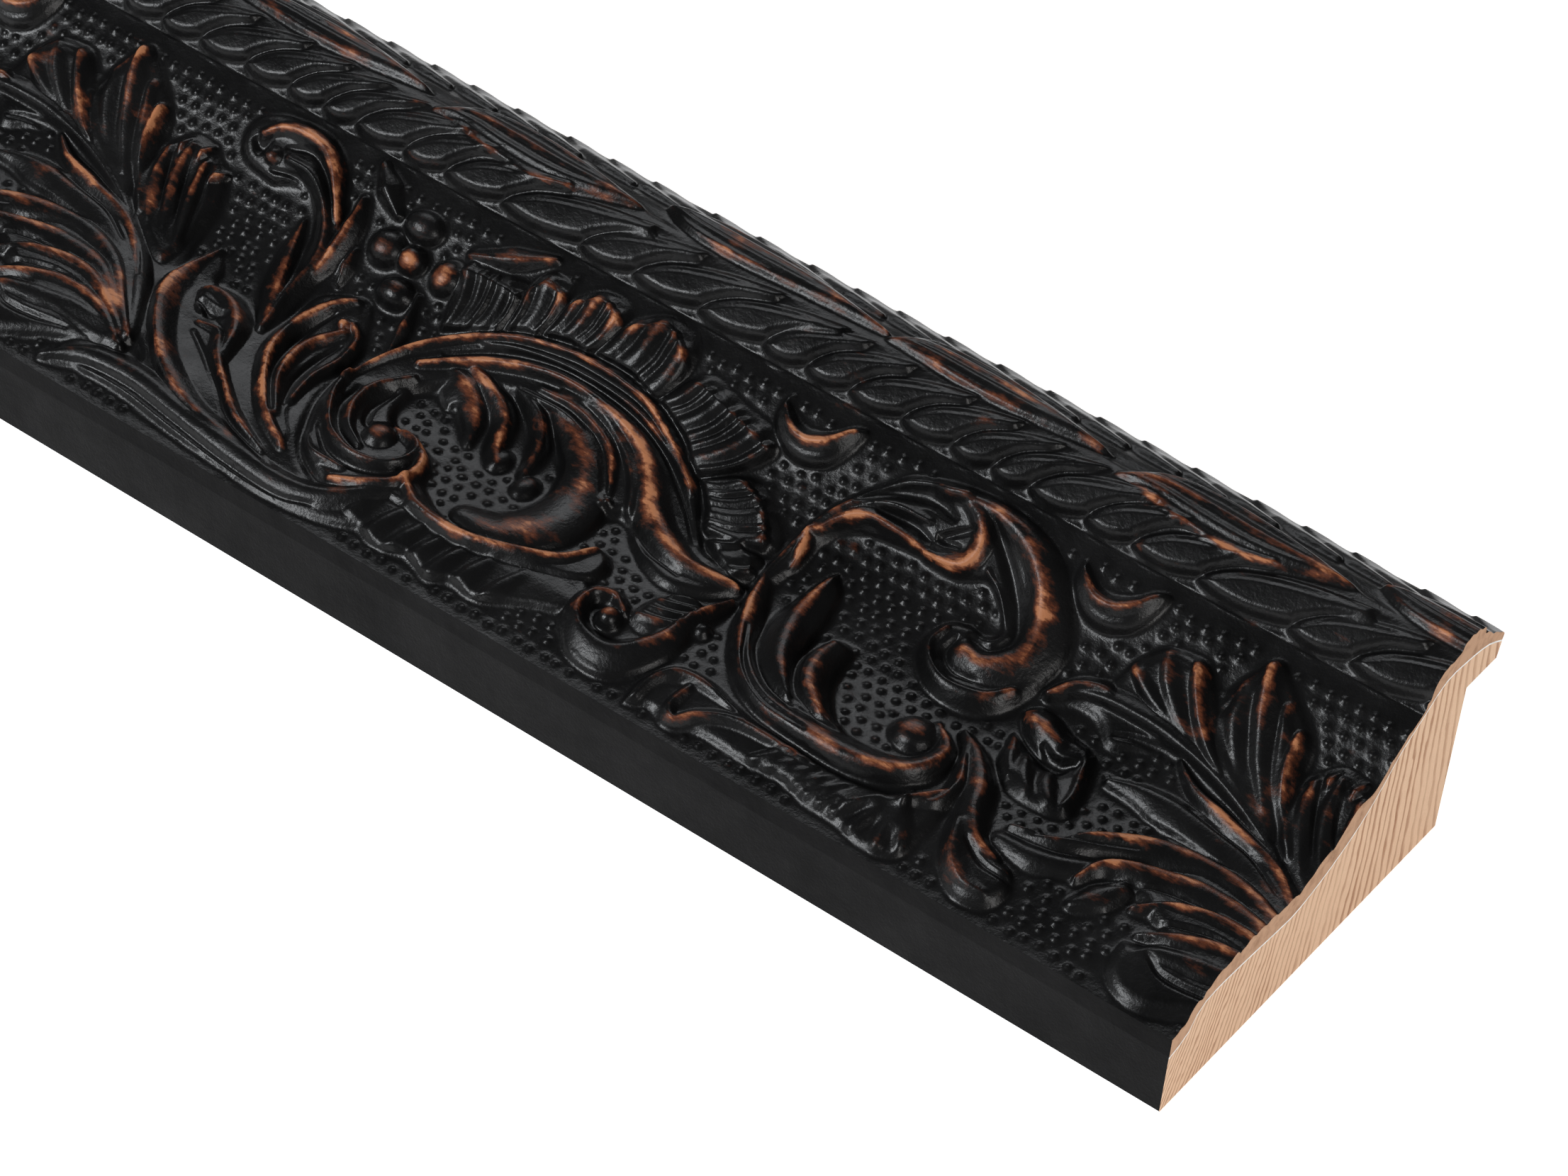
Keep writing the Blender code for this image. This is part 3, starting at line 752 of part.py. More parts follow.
for old in list(bpy.data.objects):
    bpy.data.objects.remove(old)
make_core(material("pine", (0.68, 0.42, 0.25), 0.75))
make_face(material("black composition", (0.012, 0.011, 0.011), 0.38))
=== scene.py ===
# %% [markdown]
# A length of ornate picture frame moulding. The real one is a planed pine core; over it lies a skin of
# composition, a putty that is pressed into a carved mould, then lacquered black and rubbed back so that
# copper shows on the high edges. This notebook dresses the two fixed CAD solids: the pine keeps its own
# solid and gets a sawn-wood material, and the composition gets a finely carved surface.

import math

import bmesh
import bpy
import numpy as np
from mathutils import Matrix, Vector


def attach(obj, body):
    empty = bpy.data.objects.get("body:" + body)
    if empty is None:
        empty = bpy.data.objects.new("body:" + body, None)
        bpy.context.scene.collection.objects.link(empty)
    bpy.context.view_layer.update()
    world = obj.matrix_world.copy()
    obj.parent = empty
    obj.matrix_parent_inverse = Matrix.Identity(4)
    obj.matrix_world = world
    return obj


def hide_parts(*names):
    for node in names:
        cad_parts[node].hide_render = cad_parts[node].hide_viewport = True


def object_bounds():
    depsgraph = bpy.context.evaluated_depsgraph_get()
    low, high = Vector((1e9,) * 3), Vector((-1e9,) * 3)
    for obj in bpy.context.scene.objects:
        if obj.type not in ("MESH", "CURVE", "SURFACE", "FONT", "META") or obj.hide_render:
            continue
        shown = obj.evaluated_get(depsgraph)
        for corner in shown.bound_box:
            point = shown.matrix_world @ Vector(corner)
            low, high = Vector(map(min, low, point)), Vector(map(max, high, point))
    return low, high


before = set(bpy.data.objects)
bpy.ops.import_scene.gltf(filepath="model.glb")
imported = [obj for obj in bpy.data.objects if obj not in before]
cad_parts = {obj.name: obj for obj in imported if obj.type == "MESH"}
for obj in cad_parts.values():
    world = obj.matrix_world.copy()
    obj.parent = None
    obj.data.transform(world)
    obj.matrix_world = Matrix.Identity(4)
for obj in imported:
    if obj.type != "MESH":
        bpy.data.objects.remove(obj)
cad_box = [list(corner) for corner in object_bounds()]
print("nodes:", ", ".join(sorted(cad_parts)), "box:", cad_box)

# %% [markdown]
# Everything is drawn in millimetres on the face unrolled flat, as a carver lays a pattern out: x runs
# along the moulding and is 0 at the cut end, and s runs over the curved face from its outer edge to the
# lip. The first section below is the finished ground, and the second one is the planed pine beneath.

# %% Sizes
MM = 0.001
low, high = (np.array(corner) for corner in cad_box)
LENGTH, WIDTH = (high - low)[:2] / MM
OUTER_HEIGHT = 13.5
JOINT_GAP = 0.3
GROUND = ((0, OUTER_HEIGHT), (2.5, 13.8), (7.5, 15.2), (11, 15.9), (17, 16.0), (25, 15.4), (30, 15.9),
          (35, 17.3), (40, 19.4), (44, 21.9), (46.8, 24.0), (49, 25.8), (50.7, 27.1), (52.6, 28.25),
          (54.2, 29.1), (55.7, 29.9), (56.9, 30.6), (58.4, 31.6), (60, 32.7), (62, 34.0), (64, 34.7),
          (66, 34.8), (68, 34.4), (70, 33.3), (72, 31.9), (74, 30.6), (WIDTH, 29.85))
CORE_TOP = ((0, 10.0), (1.5, 10.3), (4.2, 11.5), (6.3, 14.0), (10, 14.7), (17, 14.4), (25.6, 13.7),
            (29.5, 13.8), (35.9, 15.6), (42.4, 18.6), (47.2, 22.2), (51, 26.0), (56, 29.2), (60.5, 31.9),
            (65.6, 31.9), (71.5, 30.9), (75.9, 28.7))
BED_STEP = 2.2
REPEAT = 201.0
LEAF_REPEAT = 120.5


def curve(points, step):
    """A smooth line through a few points, in even steps."""
    p = np.array(points, float)
    ends = np.vstack([2 * p[0] - p[1], p, 2 * p[-1] - p[-2]])
    t = np.linspace(0, 1, 16, endpoint=False)[:, None]
    runs = [0.5 * (2 * b + (c - a) * t + (2 * a - 5 * b + 4 * c - d) * t**2
                   + (3 * b - a - 3 * c + d) * t**3)
            for a, b, c, d in zip(ends, ends[1:], ends[2:], ends[3:])]
    line = np.vstack(runs + [p[-1:]])
    run = np.r_[0, np.cumsum(np.hypot(*np.diff(line, axis=0).T))]
    even = np.linspace(0, run[-1], max(3, int(run[-1] / step)))
    return np.c_[np.interp(even, run, line[:, 0]), np.interp(even, run, line[:, 1])]


def frame_point(x, y, z):
    """From the drawing's millimetres to the frame's metres, whose origin is under the middle."""
    return np.stack(np.broadcast_arrays(x + LENGTH / 2, y - WIDTH / 2, z), axis=-1) * MM


bed_line = curve(CORE_TOP, BED_STEP)
section = curve(GROUND, 0.25)
section_run = np.r_[0, np.cumsum(np.hypot(*np.diff(section, axis=0).T))]
section_slope = np.gradient(section, section_run, axis=0)
FACE_WIDTH = section_run[-1]
print(f"moulding {LENGTH:.0f} x {WIDTH:.1f} mm, face {FACE_WIDTH:.1f} mm over the curve")

# %% [markdown]
# The mould that presses such a skin is carved, and carving is made of a few kinds of cut. This small
# carver works on a height map of the unrolled face: a body lays a flat mass, a stroke a tapering leaf
# along a curve, a ridge raises a crest on what is there, a groove cuts into it, a dome sets a berry, and
# reeds stand side by side. Modelling every leaf as a separate mesh would be the other way, but a pressed
# skin is one surface, and a height map gives the creases where the leaves run together for nothing. The
# wear map is kept beside it.

# %% The carver
STATION = 0.4
STROKE_FOOT, STROKE_FOOT_WIDTH = 0.3, 0.14
BODY_FOOT, BODY_FOOT_WIDTH = 0.25, 0.35


class Face:
    """Heights of the ornament over the ground, in millimetres, and how far its crests are rubbed bare."""

    def __init__(self, pitch):
        self.xs = np.linspace(-LENGTH, 0, round(LENGTH / pitch) + 1)
        self.ss = np.linspace(0, FACE_WIDTH, round(FACE_WIDTH / pitch) + 1)
        self.h = np.zeros((len(self.ss), len(self.xs)))
        self.rub = np.zeros_like(self.h)
        self.repeat = REPEAT

    def windows(self, low, high):
        """The parts of the grid that a box covers, once for each repeat of the pattern."""
        first = math.floor((self.xs[0] - high[0]) / self.repeat)
        last = math.ceil((self.xs[-1] - low[0]) / self.repeat)
        for k in range(first, last + 1):
            shift = k * self.repeat
            i0, i1 = np.searchsorted(self.xs, (low[0] + shift, high[0] + shift))
            j0, j1 = np.searchsorted(self.ss, (low[1], high[1]))
            if i1 > i0 and j1 > j0:
                x, s = np.meshgrid(self.xs[i0:i1] - shift, self.ss[j0:j1])
                yield (slice(j0, j1), slice(i0, i1)), x, s

    def near(self, points, widths):
        """For the grid round a line: each point's share of the way along, and its place across, -1 to 1."""
        line, reach = curve(points, STATION), widths.max()
        tangent = np.gradient(line, axis=0)
        tangent /= np.hypot(*tangent.T)[:, None]
        gap = np.hypot(*(line[1] - line[0]))
        last = len(line) - 1
        for window, x, s in self.windows(line.min(0) - reach, line.max(0) + reach):
            nearest = np.full(x.shape, np.inf)
            which = np.zeros(x.shape, int)
            for k, (px, ps) in enumerate(line):
                d = (x - px) ** 2 + (s - ps) ** 2
                closer = d < nearest
                nearest[closer] = d[closer]
                which[closer] = k
            dx, ds = x - line[which, 0], s - line[which, 1]
            tx, ts = tangent[which, 0], tangent[which, 1]
            side = tx * ds - ts * dx
            inner = (which > 0) & (which < last)
            across = np.where(inner, side, np.sign(side) * np.sqrt(nearest))
            share = np.clip((which + np.clip((tx * dx + ts * ds) / gap, -0.5, 0.5)) / last, 0, 1)
            yield window, share, np.clip(across / along(share, widths), -1, 1)

    def lay(self, window, body, wear):
        """Adds a form where it stands above what is there, with its own wear."""
        here = body > self.h[window]
        self.h[window] = np.where(here, body, self.h[window])
        self.rub[window] = np.where(here, wear, self.rub[window])

    def stroke(self, points, widths, tops, crest=0.0, sharp=0.0, rub=0.0):
        """A tapering form: half-widths and heights at even stations, its crest to one side.

        sharp turns the round back into a blade with hollow flanks."""
        widths, tops = np.atleast_1d(widths), np.atleast_1d(tops)
        for window, share, q in self.near(points, widths):
            rise = to_crest(q, crest)
            foot = np.clip(rise / STROKE_FOOT_WIDTH, 0, 1) ** 0.7
            back = (1 - sharp) * shoulder(rise) + sharp * bell(rise)
            self.lay(window, along(share, tops) * (STROKE_FOOT * foot + (1 - STROKE_FOOT) * back),
                     rub * rise**1.3)

    def body(self, outline, top, edge=1.6, rub=0.0):
        """A mass with a closed outline: flat on top, with rounded shoulders this wide."""
        rim = curve([*outline, outline[0]], STATION)
        for window, x, s in self.windows(rim.min(0), rim.max(0)):
            nearest = np.full(x.shape, np.inf)
            inside = np.zeros(x.shape, bool)
            for (xa, sa), (xb, sb) in zip(rim, rim[1:]):
                nearest = np.minimum(nearest, (x - xa) ** 2 + (s - sa) ** 2)
                inside ^= ((sa > s) != (sb > s)) & (x < (xb - xa) * (s - sa) / (sb - sa + 1e-12) + xa)
            depth = np.where(inside, np.sqrt(nearest), 0)
            foot = np.clip(depth / BODY_FOOT_WIDTH, 0, 1)
            back = shoulder(np.clip(depth / edge, 0, 1))
            self.lay(window, top * (BODY_FOOT * foot + (1 - BODY_FOOT) * back) * inside, rub * back)

    def ridge(self, points, widths, rises, crest=0.0, full=0.3, rub=0.7):
        """A crest raised on the masses it crosses, its flanks hollow or, with full, rounded.

        rub may change along it, as widths and rises do."""
        widths, rises = np.atleast_1d(widths), np.atleast_1d(rises)
        for window, share, q in self.near(points, widths):
            flank = to_crest(q, crest)
            on_mass = np.clip(self.h[window] / 0.8, 0, 1)
            profile = (1 - full) * bell(flank) + full * np.sin(0.5 * np.pi * flank)
            self.h[window] += along(share, rises) * profile * on_mass
            worn = along(share, np.atleast_1d(rub)) * flank**1.1 * on_mass
            self.rub[window] = np.maximum(self.rub[window], worn)

    def groove(self, points, widths, depths):
        """A V cut into what is there, never below the ground."""
        widths, depths = np.atleast_1d(widths), np.atleast_1d(depths)
        for window, share, q in self.near(points, widths):
            depth = 1 - np.abs(q)
            cut = self.h[window] - along(share, depths) * depth**1.2
            self.h[window] = np.maximum(cut, np.minimum(self.h[window], 0.1))
            self.rub[window] *= 1 - np.clip(1.6 * depth, 0, 0.9)

    def reeds(self, foot, rim, count, rise, rub=0.5, bend=0.0):
        """Round reeds side by side from a foot line to a rim line, as uneven as hand work."""
        foot, rim = np.array(foot, float), np.array(rim, float)
        edge = np.arange(count + 1)
        edges = (edge + 0.26 * np.sin(2.1 * edge + count) * (edge % count > 0)) / count
        for k, (low, high) in enumerate(zip(edges, edges[1:])):
            a, b = (np.array([along(0.5 * (low + high), line[:, 0]), along(0.5 * (low + high), line[:, 1])])
                    for line in (foot, rim))
            half = [0.52 * (high - low) * np.hypot(*(line[-1] - line[0])) for line in (foot, rim)]
            middle = 0.5 * (a + b) + bend * np.array([b[1] - a[1], a[0] - b[0]])
            uneven = 1 + 0.35 * math.sin(2.4 * k + 3 * count)
            self.ridge([a, middle, b], [half[0], 0.5 * sum(half), half[1]],
                       [0.6 * rise, rise * uneven, rise], full=0.6,
                       rub=[0.1, 0.5 * rub * uneven, rub * uneven])

    def dome(self, x0, s0, rx, rs, top, rub=0.0):
        """A round or oval boss, such as a berry or the eye of a volute."""
        for window, x, s in self.windows((x0 - rx, s0 - rs), (x0 + rx, s0 + rs)):
            q = np.clip(1 - ((x - x0) / rx) ** 2 - ((s - s0) / rs) ** 2, 0, 1)
            self.lay(window, top * np.sqrt(q), rub * q**2)


# %% Profiles of a cut
def along(share, values):
    """The value at a share of the way, from values at even stations."""
    return np.interp(share, np.linspace(0, 1, len(values)), values)


def to_crest(across, crest):
    """From 0 at either edge to 1 at the crest, which may lie to one side."""
    return np.where(across > crest, (1 - across) / (1 - crest), (1 + across) / (1 + crest))


def bell(rise):
    """A round crest that runs out into hollow flanks."""
    return 0.5 - 0.5 * np.cos(np.pi * rise)


def shoulder(rise):
    """A full round back, steep at its foot."""
    return np.sin(0.5 * np.pi * rise) ** 0.8


# %% The bare map
def blurred(grid, sigma, pitch):
    """The same grid seen through a soft lens of this radius."""
    n = math.ceil(2.5 * sigma / pitch)
    weight = np.exp(-0.5 * (np.arange(-n, n + 1) * pitch / sigma) ** 2)
    for axis in (0, 1):
        pad = [(n, n) if a == axis else (0, 0) for a in (0, 1)]
        wide = np.pad(grid, pad, mode="edge")
        size = grid.shape[axis]
        grid = sum(w * wide[(slice(None),) * axis + (slice(k, k + size),)]
                   for k, w in enumerate(weight / weight.sum()))
    return grid


PITCH = 0.2
face = Face(PITCH)
print("height map", face.h.shape, "at", PITCH, "mm")

# %% [markdown]
# The biggest form is a C scroll. On a carver's bench it is first a flat mass sawn to its outline; then
# reeds are drawn along it, each a crest with hollow flanks. The same order holds here: body, ridges, grooves.

# %% The broad scroll
def main_scroll(face):
    face.body([(-160, 24), (-159.4, 28.7), (-157.6, 33.5), (-153, 39.4), (-147, 43.5), (-141, 46.2),
               (-135, 47.6), (-129, 48.2), (-123, 48), (-117, 46.6), (-111.5, 43.6), (-106, 39.6),
               (-101.5, 34), (-98, 30.6), (-90, 28.6), (-92, 24.5), (-97.5, 21.6), (-102.5, 22.6),
               (-107, 25.6), (-111, 29), (-115, 27), (-120, 31), (-125, 35.6), (-132, 37), (-140, 36.4),
               (-147, 32.6), (-151, 28), (-153, 23)], 1.5, 1.5)
    face.ridge([(-159, 24), (-158, 29.5), (-155, 35.3), (-150, 40.3), (-145, 43.7), (-140, 45.6),
                (-135, 46.7), (-129.7, 47.2), (-120, 46.2), (-113, 43), (-106, 38.3)],
               [0.8, 1.2, 1.2, 1.1, 1.1, 0.9], [0.9, 1.3, 1.4, 1.4, 1.3, 0.8], rub=0.85)
    face.ridge([(-146, 41.8), (-140, 43.9), (-130, 44.9), (-120, 44.2), (-113, 41.6), (-105, 37.2)],
               [0.6, 0.9, 0.9, 0.7], [0.5, 0.9, 0.9, 0.5], rub=0.35)
    face.ridge([(-152, 34), (-145, 38.7), (-137, 42), (-129.7, 43), (-120, 41.3), (-114, 38.4),
                (-110, 33.8), (-105, 29.3), (-98.3, 26.4), (-90, 27.7)],
               [1.0, 1.5, 1.6, 1.8, 3.2, 3.0, 1.0], [0.9, 1.4, 1.5, 1.7, 2.1, 1.9, 0.6], rub=1.0)
    face.ridge([(-131, 41.2), (-124, 40.8), (-117, 37.6), (-112.6, 33), (-110, 28)], [0.8, 1.1, 1.1, 0.9],
               [0.6, 1.1, 1.1, 0.7], rub=0.35)
    face.ridge([(-134, 39.9), (-127, 39.9), (-120, 37.3), (-116.4, 33), (-114.6, 28.6)],
               [0.8, 1.2, 1.2, 1.0], [0.6, 1.2, 1.3, 0.9], rub=0.7)
    face.ridge([(-136, 38.2), (-128, 38), (-121, 35.2), (-117.4, 31), (-115.4, 28)], [0.7, 1.1, 1.1, 0.8],
               [0.5, 1.1, 1.1, 0.7], rub=0.3)
    face.groove([(-150, 37.4), (-143, 41.6), (-134, 44), (-122, 43.6), (-113, 40.6), (-105, 35.2),
                 (-100, 30.5)], [0.6, 0.8, 0.9, 0.9, 0.7], [0.6, 1.0, 1.1, 1.1, 0.5])
    face.groove([(-124, 37), (-118, 33.4), (-113, 27.4)], [0.6, 0.7, 0.6], [0.5, 0.9, 0.7])
    face.groove([(-109.4, 28.4), (-104, 25.4), (-98, 24)], [0.5, 0.9, 0.5], [0.5, 0.9, 0.5])
    face.dome(-114.2, 29.2, 1.1, 1.1, 2.5, 0.5)


# %% Its coiled start
def left_volute(face):
    face.body([(-160, 24), (-158.9, 19), (-156.5, 14.4), (-153.5, 10.4), (-149, 7.6), (-144, 6.9),
               (-140, 8.6), (-137, 11.6), (-136.2, 15), (-137.6, 18.6), (-140.4, 20.9), (-144, 22),
               (-147.6, 23), (-149.6, 26), (-150, 30), (-153, 33), (-157, 31)], 1.3, 1.6)
    face.ridge([(-159, 26), (-158.2, 22.3), (-156, 18.7), (-152, 14.6), (-147, 12.8), (-142.3, 14),
                (-140.4, 17), (-141.6, 19.8), (-146, 21)], [1.1, 1.3, 1.3, 1.2, 0.8],
               [1.2, 1.5, 1.6, 1.6, 1.0], rub=0.55)
    face.ridge([(-151, 31.3), (-154, 27), (-154.2, 22), (-151.6, 17.4), (-147.5, 15)], [1.0, 1.3, 1.2, 0.7],
               [1.0, 1.5, 1.3, 0.7], rub=0.4)
    face.ridge([(-144, 21.2), (-140.3, 19.9), (-137.8, 16.8), (-138.3, 12.6), (-142, 10), (-146.7, 8.2)],
               [1.0, 1.6, 1.7, 1.5, 0.8], [1.0, 1.6, 1.7, 1.3, 0.7], rub=0.85)
    face.ridge([(-155.5, 12.6), (-152, 10.2), (-146.3, 10.4)], [0.8, 1.0, 0.6], [0.8, 1.1, 0.6], rub=0.3)
    face.groove([(-156.2, 25), (-155.6, 20), (-152.4, 15.8), (-147.6, 13.9)], [0.7, 0.9, 0.9, 0.6],
                [0.8, 1.2, 1.1, 0.6])
    face.groove([(-154.5, 14.6), (-150, 11.6), (-145, 11.6), (-141, 13.6), (-138.9, 16.6)],
                [0.7, 0.9, 0.8, 0.5], [0.8, 1.2, 1.0, 0.6])
    face.groove([(-151.6, 28), (-152, 23), (-149.8, 19.6), (-146.6, 22.8)], [0.7, 1.0, 0.8, 0.6],
                [0.8, 1.3, 1.0, 0.6])
    face.dome(-146.7, 18.4, 2.8, 2.7, 3.1, 0.8)


# %% Leaves curling into its hollow
def inner_leaves(face):
    face.stroke([(-149, 35.6), (-144.6, 34), (-140.4, 31), (-137.6, 26.8)], [2.0, 3.4, 2.8, 0.8],
                [1.4, 2.2, 2.1, 1.0], crest=0.4, sharp=0.5, rub=0.7)
    face.stroke([(-147, 38), (-140.6, 35.8), (-136, 33), (-134, 28.6), (-132, 26)],
                [1.0, 1.9, 2.1, 1.8, 1.4], [1.5, 2.5, 2.5, 2.0, 1.4], crest=0.3, sharp=0.5, rub=0.8)
    face.stroke([(-138, 38.4), (-132.4, 36.2), (-129, 32.3), (-127.5, 26.5)], [1.0, 1.7, 1.7, 0.8],
                [1.6, 2.3, 2.2, 1.0], crest=0.3, sharp=0.6, rub=0.3)
    face.stroke([(-131, 38.4), (-123.5, 35), (-118.4, 28), (-118, 20.6), (-122, 15.4), (-128, 14.6)],
                [1.2, 3.4, 4.4, 4.9, 4.4, 2.0], [1.8, 2.6, 2.6, 2.2, 1.7, 0.9], crest=0.1, sharp=0.0,
                rub=0.8)
    face.groove([(-128.5, 34.5), (-124, 30.5), (-122.6, 26), (-123.4, 21.6)], [0.6, 1.1, 1.0, 0.5],
                [0.8, 1.5, 1.3, 0.6])
    face.groove([(-143, 30.6), (-139.6, 27.8)], [1.2, 0.8], [1.4, 0.8])
    face.dome(-125.6, 25, 1.9, 2.6, 1.4, 0.2)
    face.dome(-131.8, 27, 1.8, 2.4, 1.4, 0.2)


# %% [markdown]
# Over the scroll's back stands a shell edge: seven scalloped lobes, each cut into flutes that lean and
# waver, because they were carved by eye. A lobe is a mass on a low skirt, and its flutes are reeds from
# foot to rim.

# %% The fluted shell
LOBES = (([(-153.6, 40.4), (-150, 42), (-145.2, 44.6)], [(-156, 50.4), (-150, 51.2), (-145, 50.6)], 5, 0.35),
         ([(-145, 44.6), (-142, 46), (-139.4, 46.8)], [(-145, 51.6), (-142.6, 54.6), (-138.4, 53.2)], 3, 0.7),
         ([(-139.4, 46.8), (-135, 48), (-130.8, 48.2)], [(-138, 53.2), (-133.4, 56), (-129, 54)], 4, 0.85),
         ([(-130.8, 48.2), (-124, 48.2), (-118.4, 47)],
          [(-128.4, 54), (-122.6, 57.2), (-116.8, 53.6)], 4, 0.7),
         ([(-118.4, 47), (-111.6, 44), (-106, 40.4)],
          [(-114.6, 52.4), (-107, 51.2), (-98.6, 48.6)], 7, 0.45),
         ([(-106, 40), (-102.6, 36.6), (-99.6, 33)], [(-101, 43.2), (-95, 41), (-91.2, 35.4)], 6, 0.6),
         ([(-99.4, 32.4), (-96, 30.2), (-92.6, 28.8)], [(-95.6, 34.2), (-91.6, 33.2), (-90, 30.4)], 3, 0.3))


def shell_crest(face):
    for foot, rim, _, _ in LOBES:
        out = np.subtract(rim[1], foot[1]) / np.hypot(*np.subtract(rim[1], foot[1]))
        skirt = [tuple(np.add(p, 1.5 * out)) for p in rim]
        face.body([*foot, *skirt[::-1]], 0.8, 1.4)
        face.body([*foot, *rim[::-1]], 1.5, 1.1)
    for foot, rim, count, rub in LOBES:
        face.reeds(foot, rim, count, 0.6, rub, bend=0.08)
        face.ridge([np.add(p, np.multiply(0.06, np.subtract(q, p))) for p, q in zip(rim, foot)],
                   [0.5, 0.9, 0.6], [0.2, 0.35, 0.3], rub=0.9 * rub)


# %% The rail and frill below the hollow
def lower_rail(face):
    face.body([(-140, 10), (-134, 9.6), (-126, 9), (-118, 10.2), (-112, 12), (-106.4, 14.6), (-106, 19),
               (-109, 21.4), (-112, 17.6), (-117, 14), (-124, 11.8), (-131, 12.4), (-137, 15)], 1.6, 1.2)
    face.ridge([(-138, 13.6), (-133.3, 11), (-126, 10.4), (-118.3, 12.2), (-111.7, 15.4), (-109.3, 20)],
               [1.0, 1.3, 1.6, 1.0], [0.9, 1.2, 1.2, 0.7], rub=0.85)
    face.body([(-145, 5), (-141, 10), (-133, 10.4), (-125, 9.8), (-118, 11), (-112, 13), (-106, 15),
               (-105.4, 9.4), (-110, 7), (-114.4, 5), (-118, 3.6), (-121.6, 4.2), (-125, 2.7),
               (-129.6, 4.2), (-134.4, 3), (-138.6, 4.2)], 1.0, 1.2)
    for k, x in enumerate((-139.6, -135, -131, -127.4, -123.6, -119.6, -114.6)):
        drop = 1.3 * abs(k - 3) / 4
        face.ridge([(x + 0.8, 9.4 + drop), (x - 0.2, 6.2 + drop), (x - 1.0, 3.4 + drop)], [1.2, 1.9, 2.0],
                   [0.25, 0.6, 0.55], crest=-0.3, rub=0.1)


# %% The small scroll under the junction
def low_curl(face):
    face.stroke([(-98.6, 13.4), (-101.7, 15.1), (-104.4, 13.6), (-104.6, 10), (-101.6, 7), (-97, 6),
                 (-93.4, 8), (-91, 12), (-90.6, 17.6), (-89.2, 25)],
                [0.8, 1.3, 1.4, 2.0, 2.8, 3.0, 2.6, 1.6, 1.3, 0.8],
                [1.6, 2.1, 2.2, 2.2, 2.1, 2.1, 2.2, 2.3, 2.3, 1.6], crest=0.35, sharp=0.5, rub=0.6)
    face.dome(-99.7, 11.3, 1.9, 1.8, 2.5, 0.8)
    face.body([(-98, 13), (-93, 12), (-90.6, 15), (-90.4, 20), (-92, 22), (-95.4, 21.4), (-97.8, 18)], 1.3,
              1.6)
    for k in range(4):
        face.ridge([(-97.2 + 0.4 * k, 14 + 2 * k), (-94, 14.6 + 2 * k), (-91.4, 16 + 2 * k)],
                   [0.7, 1.0, 0.7], [0.5, 0.7, 0.4], rub=0.2)
    face.dome(-88.7, 17.7, 1.3, 1.4, 1.5)
    face.stroke([(-105.3, 8), (-100, 4.6), (-95, 4.4), (-91.8, 7.4)], [0.7, 1.2, 1.2, 0.8],
                [0.7, 1.1, 1.1, 0.7])


# %% Crescents beside the scrolls
def crescents(face):
    for x in (-95.4, -44.9):
        face.body([(x - 6.4, 56.6), (x - 6, 52.6), (x - 3, 49.6), (x + 1, 48.8), (x + 4.6, 50.4),
                   (x + 6.6, 54), (x + 7, 57.4), (x + 4.6, 56.6), (x + 2.4, 54.6), (x - 1, 53.4),
                   (x - 4, 54.6)], 1.7, 1.9)
        face.ridge([(x - 5.4, 55.2), (x - 2.6, 53), (x + 0.4, 52.4), (x + 3.4, 53.8), (x + 5.6, 56.6)],
                   [0.8, 1.5, 1.7, 0.8], [0.6, 1.2, 1.2, 0.6], rub=0.9)


# %% [markdown]
# The G scroll on the right is a broad strap. Its crest runs close to the middle, with a round shoulder
# outside and a hollow inside, and it ends in a hooked volute. Leaves are folded into its head.

